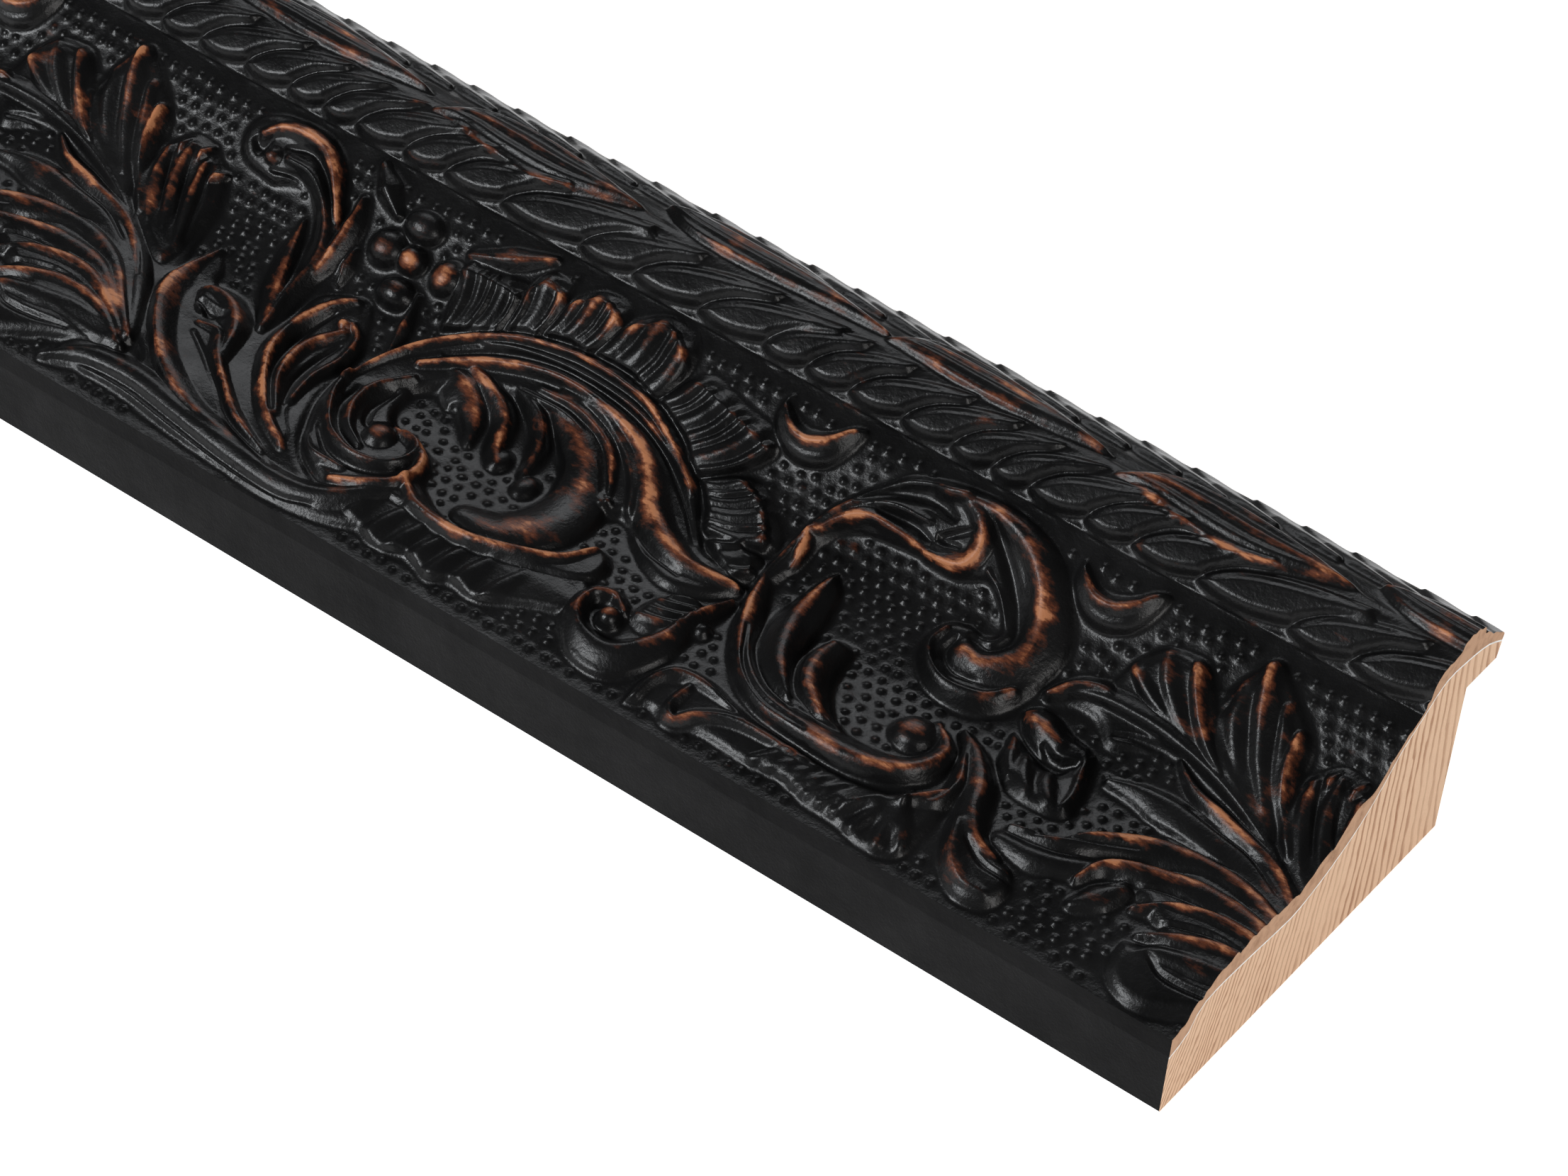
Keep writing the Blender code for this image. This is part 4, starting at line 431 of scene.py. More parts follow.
# %% The G scroll
def g_scroll(face):
    face.body([(-89.4, 31), (-89, 38), (-87.7, 44), (-85, 48.5), (-80, 54.3), (-75, 56.3), (-70, 57.4),
               (-65, 57.7), (-60, 57.1), (-55, 55.4), (-51, 52.4), (-48, 48), (-46, 43.3), (-46.4, 39),
               (-47.6, 34.7), (-49.5, 31.2), (-53, 29), (-57, 28.6), (-61, 30), (-64, 33.3), (-64.6, 36.5),
               (-63, 39.6), (-60, 40.7), (-57.6, 40.2), (-56, 42), (-58.3, 45.2), (-61.6, 47.2),
               (-66, 45.4), (-72, 45.8), (-79, 45), (-83.4, 43.4), (-85.4, 39.6), (-86, 35), (-87.4, 31)],
              1.5, 1.7)
    face.ridge([(-89, 31.6), (-88.4, 38), (-87, 43.4), (-84, 48.4), (-80, 52.8), (-75, 55), (-70, 56)],
               [0.7, 1.0, 1.2, 1.3], [0.9, 1.1, 1.2, 1.2], rub=0.3)
    face.ridge([(-74, 54.4), (-70, 55.7), (-65, 56), (-60, 55), (-56, 52.8), (-53, 49.6), (-51, 45.7),
                (-50.3, 41.6), (-51.6, 38.2), (-55, 35.9), (-58, 36.4)],
               [1.0, 1.8, 2.4, 2.8, 3.0, 3.6, 2.2], [1.0, 1.4, 1.5, 1.6, 1.7, 1.9, 1.2], crest=-0.1, rub=1.0)
    face.ridge([(-62.6, 38.4), (-63.2, 35), (-61, 32), (-57, 30.4), (-52, 31.6), (-49, 34.6)],
               [0.8, 1.4, 1.6, 1.2], [0.8, 1.2, 1.2, 0.8], crest=0.3, rub=0.35)
    face.groove([(-60.4, 37.8), (-60.6, 35), (-58, 33.2), (-54.4, 33.4)], [0.6, 1.0, 0.9, 0.6],
                [0.8, 1.2, 1.0, 0.4])
    face.groove([(-65, 54.6), (-61.7, 52), (-58.3, 48.8), (-55.4, 45.2), (-53.6, 41.6), (-55.6, 38.8),
                 (-58.6, 39)], [0.8, 1.4, 1.7, 1.5, 1.0], [0.7, 1.1, 1.3, 1.3, 0.9])
    face.ridge([(-62, 48.4), (-58.8, 46), (-56.4, 42.6), (-57.8, 40.6)], [0.6, 0.9, 0.7], [0.5, 0.9, 0.5],
               rub=0.2)
    face.stroke([(-71, 55.4), (-66.8, 54), (-64.8, 50.8), (-66, 47.6), (-71, 46.4)],
                [1.0, 1.9, 2.1, 1.9, 0.8], [2.4, 3.0, 3.1, 2.8, 1.8], crest=0.2, sharp=0.3, rub=0.9)
    face.groove([(-66.6, 52.6), (-68.4, 51.2), (-70.4, 49.2), (-67.6, 49.4)], [0.6, 0.8, 0.8, 0.5],
                [0.9, 1.4, 1.3, 0.7])
    face.groove([(-84, 48.4), (-80.4, 51.9), (-75, 53.6), (-70.4, 52.6)], [0.7, 1.9, 2.1, 1.0],
                [1.0, 2.6, 2.8, 1.0])
    face.ridge([(-84, 47.6), (-79, 50.2), (-73, 50.6)], [0.6, 1.2, 0.7], [0.6, 1.0, 0.6], rub=0.3)
    face.groove([(-80, 48.4), (-75, 49), (-71.6, 48.2)], [0.6, 1.0, 0.7], [0.6, 1.2, 0.8])
    face.ridge([(-86.6, 41.6), (-84.4, 45), (-81, 47.2), (-76, 47.2), (-70, 46.2)], [0.9, 1.6, 1.4, 0.8],
               [0.9, 1.4, 1.1, 0.6], rub=0.85)
    face.ridge([(-87.4, 41), (-86.4, 37.6), (-85.8, 34.6)], [1.0, 1.5, 1.0], [0.8, 1.2, 0.7], rub=0.9)


# %% The leafy low volute
def low_volute(face):
    face.stroke([(-88.8, 34), (-87.4, 28.6), (-84.6, 22.4), (-80, 16.4), (-74, 12.6), (-65, 11.8),
                 (-57, 12.2), (-51.6, 14.8), (-50.2, 19.6), (-53.4, 23)],
                [0.8, 1.7, 2.2, 2.4, 2.2, 2.5, 2.7, 2.5, 2.2, 1.4],
                [1.4, 2.0, 2.2, 2.3, 2.4, 2.6, 2.8, 2.8, 2.8, 2.2], crest=-0.35, sharp=0.45, rub=0.85)
    face.body([(-80.7, 38), (-78.2, 35.4), (-77, 31), (-76.4, 26), (-74.6, 20.4), (-71, 15.6), (-67, 13.2),
               (-72, 12.8), (-77, 15.4), (-81, 20), (-83.4, 26), (-82.8, 32)], 1.9, 2.2)
    face.ridge([(-80.9, 36.4), (-80.6, 31), (-79.8, 25.6), (-77, 19.6), (-72, 14.6)],
               [1.0, 2.0, 2.1, 1.8, 1.0], [0.4, 0.8, 0.9, 0.8, 0.4], full=0.4, rub=0.75)
    face.body([(-75.2, 26.4), (-74.4, 28.3), (-72.4, 28.9), (-70.5, 27.4), (-70, 23.6), (-68.4, 19.4),
               (-65, 15.8), (-61, 13.6), (-66, 12.6), (-71, 14), (-74.2, 18), (-75.6, 22.6)], 2.3, 2.2,
              rub=0.2)
    face.ridge([(-73.4, 27), (-73.2, 22.8), (-71.2, 18), (-66.8, 14.6)], [1.2, 2.0, 1.9, 1.0],
               [0.4, 0.8, 0.8, 0.4], full=0.4, rub=0.85)
    face.groove([(-83.6, 25.4), (-81.6, 20), (-77, 15.4), (-70, 12.9)], [0.5, 0.7, 0.7, 0.4],
                [0.7, 1.1, 1.1, 0.5])
    face.groove([(-75.8, 25), (-75, 20.6), (-71.6, 16), (-66, 13.4)], [0.6, 0.8, 0.8, 0.4],
                [0.9, 1.2, 1.1, 0.5])
    face.groove([(-84.6, 22), (-80, 15.4), (-74, 11.8), (-66, 10.8)], [0.4, 0.6, 0.6, 0.4],
                [0.4, 0.8, 0.8, 0.4])
    face.dome(-55.2, 20.8, 3.6, 3.4, 2.7, 0.7)
    face.groove([(-58, 17.8), (-55, 16.8), (-52.2, 18.6), (-51.8, 21.4)], [0.5, 0.7, 0.7, 0.4],
                [0.6, 1.1, 1.0, 0.5])


# %% Ragged leaves along the outer edge
def low_leaves(face):
    face.body([(-90, 1.6), (-90, 5.6), (-87.6, 10), (-83, 11), (-77, 9.8), (-70, 9), (-60, 8.6), (-55, 9.2),
               (-49, 10.6), (-44.6, 14), (-44, 8), (-45, 2.4), (-50, 1), (-55, 2.2), (-60, 2.4), (-65, 3.6),
               (-70, 3), (-76, 3.4), (-80, 3), (-83, 1.6), (-86, 3)], 0.9, 1.5)
    face.ridge([(-89, 3), (-88.4, 6.8), (-85.6, 9.6), (-80, 9.8), (-74, 8.4)], [1.4, 1.8, 1.4, 0.7],
               [0.7, 1.2, 1.1, 0.4], rub=0.35)
    face.ridge([(-83.4, 8), (-83.8, 4.6), (-82, 3), (-79.6, 5.4), (-75, 7.4), (-68, 7.8), (-62, 7.6)],
               [1.0, 1.3, 1.3, 1.2, 0.7], [0.8, 1.2, 1.3, 1.0, 0.4], rub=0.3)
    for k in range(7):
        face.ridge([(-65.4 + 2.3 * k, 8.4), (-67.2 + 2.3 * k, 6.2), (-69.6 + 2.3 * k, 4 - 0.1 * k)],
                   [1.0, 1.5, 1.1], [0.3, 0.75, 0.5], full=0.3, rub=0.15)
    for x, s in ((-55, 5.2), (-52.4, 2.6), (-48, 1.8), (-45, 3.4)):
        face.ridge([(-48.6, 9.8), ((-48.6 + x) / 2 - 0.4, (9.8 + s) / 2 + 0.4), (x, s)], [1.0, 1.9, 1.3],
                   [0.6, 1.0, 0.6], full=0.3, rub=0.2)
    face.stroke([(-52.5, 8), (-48.6, 9.8), (-45.4, 13.4), (-44.4, 17)], [0.7, 1.4, 1.3, 0.7],
                [1.6, 2.2, 2.1, 1.4], crest=0.3, sharp=0.5, rub=0.7)


# %% The stem that leaves the junction
def right_stem(face):
    face.stroke([(-50.6, 25.6), (-46.6, 22), (-43, 17.6), (-41, 13.4), (-38, 10), (-34, 9)],
                [0.8, 2.2, 2.6, 2.4, 2.0, 0.9], [1.4, 2.3, 2.6, 2.5, 2.2, 1.4], crest=0.2, sharp=0.5,
                rub=0.6)
    face.stroke([(-49.4, 24.6), (-47.2, 20.4), (-45, 16), (-45.6, 11.6), (-49, 10.2)],
                [0.7, 1.1, 1.3, 1.2, 0.6], [1.6, 2.1, 2.3, 2.1, 1.4], sharp=0.5, rub=0.5)
    face.body([(-43.6, 16.6), (-42.4, 10), (-40, 5), (-35.4, 1.6), (-31, 2.6), (-29.6, 6), (-31.4, 9),
               (-35, 9.6), (-39, 12.4), (-41, 16)], 1.6, 2.0)
    face.ridge([(-41, 11), (-38.6, 7), (-35.4, 4.4), (-32, 4)], [1.2, 1.8, 1.6, 0.8], [0.7, 1.0, 0.8, 0.4],
               crest=-0.3, rub=0.15)
    face.groove([(-38.6, 9.4), (-35, 7.6), (-30.6, 7.2)], [0.5, 0.8, 0.6], [0.5, 1.0, 0.6])


# %% [markdown]
# The palmette is the other shell: three lobes whose folds all run down into one stem. The folds stand
# high and are rubbed hard, so they carry much of the copper. The third lobe's rim ends in three teeth.

# %% The palmette
PALMETTE = (([(-37.8, 45.6), (-36.6, 48.4), (-34.2, 50.9), (-31.4, 51.5), (-28.4, 51.2), (-25.8, 48.6),
              (-23.4, 45)], (-18, 38.6), (-31, 41.6)),
            ([(-24, 46), (-23, 50), (-21.8, 53.6), (-20.2, 56), (-17.2, 54), (-14, 51.4), (-11.2, 49),
              (-9.8, 44.8), (-8.8, 40)], (-7, 32.6), (-19, 39.6)),
            ([(-8.8, 42), (-7.6, 44.8), (-5, 46.8), (-2, 46.8), (1.4, 45), (4, 42.6), (5.4, 37)], (5, 27),
             (-6, 33.4)))
PALMETTE_FOLDS = (([(-37, 46.8), (-33.4, 44.4), (-28, 42)], 1.3, 0.6, 0.7),
                  ([(-33.6, 50.8), (-30.8, 46.6), (-25.8, 42)], 1.6, 0.7, 0.35),
                  ([(-28.8, 51), (-26, 46.8), (-20.8, 41.4), (-14, 37)], 1.9, 1.4, 0.95),
                  ([(-22.2, 51), (-20.2, 46), (-16.8, 41)], 1.6, 0.6, 0.2),
                  ([(-20.2, 55.6), (-17.8, 50), (-14.8, 44), (-10.8, 38)], 2.0, 1.3, 1.0),
                  ([(-15.4, 51.8), (-13.2, 46.8), (-10.4, 41), (-6, 35)], 1.3, 0.9, 0.5),
                  ([(-12, 49.2), (-10.8, 44.6), (-8.4, 39.6), (-4.4, 33.4)], 1.4, 1.5, 1.0),
                  ([(-7, 44.6), (-5.6, 39.4), (-2, 33)], 1.5, 0.9, 0.6),
                  ([(-3.8, 46.4), (-2.6, 40.4), (1, 33)], 1.6, 1.0, 0.6),
                  ([(0, 45), (1.6, 39), (5, 31)], 1.4, 1.0, 0.8))


def palmette(face):
    face.body([(-44, 38), (-40, 42), (-38.4, 45), (-37.4, 48), (-34.8, 51), (-31.4, 52), (-28, 51.6),
               (-25, 49.4), (-23.4, 52.4), (-20.4, 57), (-17, 55), (-12.6, 51.4), (-10, 48.4), (-9, 45),
               (-6.6, 47.6), (-4, 48.8), (-0.6, 47.8), (3.6, 44.4), (5.6, 40), (7, 32), (9.6, 24), (13, 16),
               (9, 14), (5, 21), (0.6, 27), (-5, 31), (-11, 34.6), (-17, 37), (-24, 38.4), (-30, 37),
               (-34, 35), (-38, 38)], 0.9, 1.8)
    for rim, foot, side in PALMETTE:
        face.body([*rim, foot, side], 1.9, 2.2, rub=0.32)
    for line, half, rise, worn in PALMETTE_FOLDS:
        face.ridge(line, [0.8 * half, 1.1 * half, half, 0.6 * half],
                   [0.8 * rise, rise, 0.8 * rise, 0.3 * rise], crest=-0.25, full=0.3,
                   rub=[worn, 0.9 * worn, 0.4 * worn, 0])
    for rim, foot, side in PALMETTE:
        face.ridge(rim, [0.5, 1.0, 1.0, 0.5], [0.2, 0.5, 0.5, 0.2], rub=0.7)
    for tooth, tip in (((-5.2, 44.6), (-5.0, 47.6)), ((-1.8, 45), (-1.2, 47.8)),
                       ((1.8, 42.8), (3.2, 45.2))):
        face.stroke([tooth, (0.5 * (tooth[0] + tip[0]) - 0.3, 0.5 * (tooth[1] + tip[1])), tip],
                    [0.6, 1.1, 0.5], [2.2, 2.5, 1.4], rub=0.9)
    for flute in ([(-6.8, 46.2), (-4.8, 40.8), (-1.6, 35)], [(-3.4, 46.6), (-1.4, 40.6), (2, 34)],
                  [(0.4, 45.4), (2.4, 39.8), (5, 32.6)]):
        face.groove(flute, [0.3, 0.55, 0.3], [0.4, 0.8, 0.3])
    face.stroke([(-44.4, 38.6), (-40, 40.8), (-34, 41.6), (-26, 41), (-16, 37.6), (-6, 32.2), (2, 26),
                 (8, 19.6), (13, 13)], [0.9, 2.0, 2.2, 2.0, 1.8, 1.8, 2.0, 2.0, 1.2],
                [1.4, 2.2, 2.2, 2.1, 2.1, 2.3, 2.4, 2.3, 1.8], crest=-0.3, sharp=0.2, rub=0.1)
    face.groove([(-34, 37), (-31, 38), (-25, 38.6), (-19, 37.4), (-12, 34.6), (-5, 30.8), (1, 26.2),
                 (5, 22)], [0.6, 1.0, 1.1, 1.1, 1.0, 0.6], [0.7, 1.4, 1.5, 1.5, 1.3, 0.7])
    face.stroke([(-45, 37.4), (-42.4, 40.2), (-39, 41.6), (-34.6, 41)], [0.9, 1.5, 1.6, 0.8],
                [1.8, 2.3, 2.3, 1.6], crest=0.2, sharp=0.5, rub=0.7)


# %% Leaves that flow into its stem
def stem_leaves(face):
    rows = (([(-24.4, 38.2), (-20.4, 35.4), (-13.7, 33.2), (-4, 30), (4, 22), (12, 13)], 1.5, 2.2, 0.85),
            ([(-30.6, 30.4), (-25, 31), (-16, 29.6), (-6, 27.6), (2, 22), (11, 13)], 3.0, 2.2, 0.3),
            ([(-35.6, 14.6), (-29, 16), (-24.3, 20), (-18.3, 23.6), (-9, 25), (-1, 22.6), (6, 17), (12, 12)],
             2.0, 2.7, 0.9),
            ([(-23.8, 12.6), (-22, 16.6), (-17.3, 18.6), (-9, 20.6), (-1, 19.8), (6, 15.6), (13, 11.4)],
             1.9, 2.5, 0.85),
            ([(-15.4, 13.2), (-10.6, 16), (-4, 17.6), (2, 16.6), (12, 11)], 1.4, 2.4, 0.85),
            ([(-12.4, 10), (-8, 11.6), (-1, 13.8), (5, 13.2), (12, 10)], 1.5, 2.2, 0.8),
            ([(-12.6, 5.4), (-9, 8.2), (-2, 9.8), (5, 11), (13, 9.4)], 2.0, 1.9, 0.4))
    face.body([(-14, 32), (-7, 29.6), (1, 24), (9, 15), (12, 11), (10, 8), (0, 8.6), (-7, 10.6),
               (-13, 13.6), (-17, 16), (-18, 20), (-12, 25), (-17, 28), (-22, 31)], 1.7, 1.8)
    for line, half, top, rub in rows:
        face.stroke(line, [0.25 * half, 1.0 * half, 1.3 * half, 1.2 * half, 1.05 * half, 0.6 * half],
                    [0.6 * top, top, 1.05 * top, top, 0.95 * top, 0.85 * top], crest=0.35, sharp=0.2,
                    rub=rub)
    face.stroke([(-35.6, 12.6), (-30, 12.6), (-25, 14.6), (-21, 18)], [1.4, 2.2, 2.0, 0.8],
                [1.1, 1.6, 1.6, 1.2], sharp=0.3)
    face.stroke([(-22, 9.4), (-20, 11.6), (-18, 15)], [1.0, 2.4, 1.6], [1.0, 1.6, 1.8], rub=0.2)
    face.body([(-13.4, 8.6), (-13.4, 4.6), (-10.6, 1.6), (-6.4, 0.8), (-2, 2.6), (4, 6), (10, 8), (4, 10.4),
               (-3, 9.4), (-9, 9.6)], 1.5, 2.2)
    face.groove([(-9.4, 8.2), (-6, 6.6), (-0.7, 6.9), (5, 8)], [0.5, 0.8, 0.8, 0.4], [0.5, 1.0, 1.0, 0.4])
    for line in ([(-29.6, 29), (-25, 28.2), (-18, 27.6), (-9, 26.6)],
                 [(-22, 33.2), (-15, 31.8), (-8, 30.4), (-2, 27)], [(-33, 14.8), (-27, 18), (-20, 22)],
                 [(-15, 12), (-12.6, 12.2), (-5, 15), (1, 15)], [(-20, 14), (-14, 17.6), (-6, 18.8)]):
        face.groove(line, [0.4, 0.7, 0.4], [0.5, 1.0, 0.5])


# %% Two round leaves at its foot
def small_leaves(face):
    face.body([(-46.4, 33.4), (-45, 35.2), (-42, 35.2), (-38.4, 33.8), (-35.8, 33.4), (-34.4, 31.4),
               (-35, 29), (-38, 28.2), (-41, 28.8), (-44.6, 30.6)], 1.9, 2.0)
    face.ridge([(-45.6, 33), (-42.6, 32.4), (-39, 31.4)], [1.4, 2.2, 1.3], [0.5, 1.0, 0.5], full=0.5,
               rub=1.0)
    face.body([(-46, 30.4), (-43, 28.8), (-40, 27.6), (-36.8, 27.4), (-35.4, 32), (-34.4, 33), (-33, 30),
               (-31.8, 26), (-31, 22), (-33, 20.2), (-37, 19.8), (-41, 20.8), (-44, 24)], 1.6, 2.2)
    for foot, tip in (((-44.6, 29), (-41.4, 22.4)), ((-41.4, 27.4), (-37.8, 21)),
                      ((-37.6, 27), (-34.2, 21.2))):
        face.ridge([foot, (0.5 * (foot[0] + tip[0]) - 0.6, 0.5 * (foot[1] + tip[1])), tip], [1.0, 1.7, 1.1],
                   [0.4, 0.8, 0.5], full=0.4, rub=0.25)
    face.ridge([(-35.4, 32.4), (-33.9, 29), (-32.6, 25), (-32.4, 21.8)], [0.7, 1.1, 1.1, 0.7],
               [0.4, 0.8, 0.8, 0.4], rub=0.3)
    face.groove([(-40.6, 29.8), (-38, 28.6), (-35.6, 29.8)], [0.7, 1.2, 0.7], [0.9, 1.8, 0.9])


# %% [markdown]
# At the left a stem wanders along the outer edge and sends up the crook, a comma leaf, two curls and a
# tall split acanthus lobe. These are blades: one steep side, one long hollow side, crest rubbed bare.

# %% The stem along the outer edge
def bottom_stem(face):
    face.body([(-193.4, 29), (-190.6, 34.4), (-187.8, 32), (-186.6, 29.4), (-181.4, 29.2), (-176, 26),
               (-174, 30), (-172.8, 36), (-168, 38.8), (-164.6, 38.4), (-161.6, 33), (-160, 26),
               (-158.6, 18.6), (-154, 10), (-146, 6.6), (-139, 9), (-138, 4.6), (-146, 1.6), (-155, 0.9),
               (-165, 2), (-175, 3.2), (-184, 4.6), (-190, 3.8), (-195.6, 2.2), (-193.4, 8.4), (-184, 8.6),
               (-189, 14), (-192.4, 20)], 1.0, 1.6)
    face.stroke([(-196.4, 2.4), (-191, 5.6), (-182, 6.4), (-172, 5), (-162, 4.2), (-152, 3.6), (-145, 5.4),
                 (-139.4, 10), (-137, 14.6)], [0.7, 2.6, 3.0, 2.8, 2.8, 2.8, 2.6, 2.2, 1.2],
                [1.2, 2.0, 2.1, 2.1, 2.1, 2.1, 2.1, 2.2, 2.0], crest=0.25, sharp=0.35, rub=0.2)
    face.groove([(-195, 2.6), (-190, 4.4), (-182, 4.9), (-173, 3.8), (-162, 2.4), (-152, 1.8), (-146, 3.4)],
                [0.5, 0.8, 0.8, 0.7, 0.5], [0.4, 0.9, 0.9, 0.8, 0.4])
    face.stroke([(-190.4, 34.4), (-191.2, 29), (-190.4, 23.4), (-186.4, 17.4), (-180, 11.6), (-171, 7.6),
                 (-160, 6)], [0.7, 2.8, 2.6, 2.3, 2.1, 1.8, 1.2], [1.2, 2.3, 2.5, 2.4, 2.3, 2.1, 1.6],
                crest=-0.45, sharp=0.6, rub=0.85)
    face.body([(-188, 26.4), (-186.6, 28.7), (-183.4, 29.3), (-179.6, 28), (-176, 25), (-174, 20),
               (-172.6, 14), (-174.4, 13), (-176.6, 18), (-179, 21.6), (-182, 22.4), (-184.6, 22),
               (-186.4, 23.6)], 2.0, 1.7, rub=0.15)
    face.ridge([(-187, 27), (-184.4, 27.4), (-180.6, 26), (-177.4, 22.4), (-175.2, 17)],
               [1.0, 1.8, 1.8, 1.4, 0.8], [0.5, 0.9, 0.9, 0.7, 0.4], rub=0.85)
    face.stroke([(-182.6, 20.4), (-179, 20.4), (-176, 17), (-172, 13.4), (-166, 9.4), (-158, 6.6)],
                [0.9, 1.5, 1.7, 1.7, 1.5, 0.9], [1.6, 2.2, 2.2, 2.1, 1.9, 1.4], crest=0.2, sharp=0.5,
                rub=0.75)
    face.groove([(-185.6, 24.4), (-183, 23.5), (-180.4, 24)], [0.8, 1.3, 0.7], [1.2, 2.2, 0.9])
    face.groove([(-182, 18.7), (-177.3, 15.9), (-171.7, 12.3), (-165, 8), (-155, 5)], [0.5, 0.7, 0.7, 0.4],
                [0.6, 1.1, 1.0, 0.4])


# %% The crook and its side leaves
def crook(face):
    face.body([(-190.6, 47.4), (-196.7, 48.6), (-199, 51.6), (-198.4, 55.2), (-195, 57.3), (-190, 57.9),
               (-185, 57.1), (-181, 54.6), (-178.6, 51), (-176.6, 46.6), (-175, 41), (-174.4, 33),
               (-173.6, 25), (-176.6, 25), (-178, 32), (-179.2, 39), (-180.6, 44), (-183.4, 47.6),
               (-187, 49)], 1.3, 1.7)
    face.ridge([(-195.6, 53.4), (-193, 55.4), (-189, 56.2), (-185, 55.5), (-181.5, 53), (-178.6, 49),
                (-176, 45.6)], [1.0, 1.8, 2.0, 1.8, 1.0], [0.9, 1.5, 1.6, 1.4, 0.7], rub=0.95)
    face.ridge([(-189.8, 51.8), (-185.4, 51.6), (-181.5, 49.4), (-178.5, 46), (-176.6, 41), (-176.6, 33),
                (-175.4, 26)], [0.9, 1.3, 1.3, 1.2, 1.0], [0.8, 1.2, 1.2, 1.0, 0.7], rub=0.35)
    face.groove([(-191, 53.2), (-187, 54.1), (-183.6, 52.7), (-180.4, 49.9), (-178, 46.6)],
                [0.6, 0.9, 0.9, 0.6], [0.7, 1.4, 1.3, 0.6])
    face.groove([(-191.6, 49.2), (-187, 50), (-182.6, 47.6), (-179.6, 42.6)], [0.5, 0.8, 0.8, 0.5],
                [0.5, 1.1, 1.0, 0.5])
    face.groove([(-196.4, 52), (-195, 51.2), (-194.2, 53)], [0.7, 1.1, 0.6], [0.8, 1.4, 0.7])
    face.dome(-192.4, 51.1, 1.8, 1.7, 2.4, 0.5)
    face.stroke([(-175.8, 52), (-175, 48.6), (-174.8, 44), (-175.4, 38.6)], [0.7, 1.7, 1.9, 0.9],
                [1.4, 2.5, 2.5, 1.7], crest=-0.3, sharp=0.5, rub=0.8)
    face.stroke([(-182.7, 44.8), (-181.4, 39.4), (-179.6, 34.4), (-176.4, 28)], [0.5, 2.0, 2.3, 1.4],
                [1.0, 2.2, 2.3, 1.8], crest=0.45, sharp=0.6, rub=0.8)


# %% The acanthus lobe
def acanthus(face):
    face.body([(-165.6, 38.6), (-169.7, 37.6), (-172.4, 34.2), (-173.6, 30), (-173.2, 25), (-171.5, 20.7),
               (-168.3, 16.6), (-163.3, 11.8), (-156, 7.6), (-156, 11), (-159.6, 15), (-160.6, 21),
               (-160.8, 27), (-161, 31.4), (-163, 34.4)], 1.4, 1.5)
    face.ridge([(-167, 38), (-169.4, 35.4), (-171.4, 31.4), (-171.9, 26.7), (-170.7, 22), (-167, 16.6),
                (-162.3, 11.9), (-156, 8.6)], [1.2, 1.7, 1.7, 1.5, 1.3, 0.9],
               [1.1, 1.4, 1.5, 1.4, 1.1, 0.6], crest=0.2, rub=0.85)
    face.ridge([(-164.9, 32), (-167.3, 27.9), (-167.4, 23.4), (-165.4, 17.6), (-161, 12.6)],
               [1.3, 1.7, 1.6, 1.0], [1.0, 1.3, 1.2, 0.6], rub=0.55)
    face.ridge([(-164.6, 34.2), (-162.3, 32.4), (-161.6, 28), (-162.2, 22), (-161, 16)],
               [0.8, 1.1, 1.1, 0.8], [0.9, 1.1, 1.0, 0.6], rub=0.4)
    face.groove([(-168.4, 34.4), (-169.6, 29), (-169, 23.6), (-166.4, 18), (-161.6, 12.6)],
                [0.6, 0.9, 0.9, 0.5], [0.7, 1.3, 1.2, 0.5])
    face.groove([(-163.8, 30), (-164.6, 25.6), (-163.8, 20), (-161.4, 15)], [0.5, 0.8, 0.8, 0.5],
                [0.6, 1.2, 1.1, 0.5])
    face.dome(-165.7, 33.4, 1.4, 1.4, 2.7, 0.6)


# %% Berries and sprigs
def berries(face):
    for x, s, rx, rs in ((-164.8, 52.5, 3.3, 2.5), (-168.4, 47.3, 3.0, 2.9), (-163.7, 47.5, 2.3, 2.3),
                         (-163, 42, 3.2, 2.5), (-157.3, 47.6, 2.6, 2.8)):
        face.dome(x, s, rx, rs, 2.6, 0.55)
    for line, half, rub in (([(-176.4, 58), (-173, 55), (-169.6, 52.4)], 2.0, 0.2),
                            ([(-172.6, 45), (-171.6, 39)], 1.2, 0.2),
                            ([(-159.6, 43.4), (-158, 37), (-157.2, 32)], 1.2, 0.3),
                            ([(-156, 52.4), (-150, 54.6), (-144, 57.6)], 1.9, 0.6)):
        face.stroke(line, [0.4 * half, half, 0.4 * half], [1.2, 2.0, 1.2], crest=-0.2, sharp=0.6, rub=rub)


# %% [markdown]
# The torus carries laurel in three layers: short leaves lap one over the next along its near side, long
# ones lie along the crest, and short ones fall away to the sight edge. A leaf of the near side has a thin
# rim on its upper side and a hollow below, so that the row reads as scales. The long ones are ribbed.

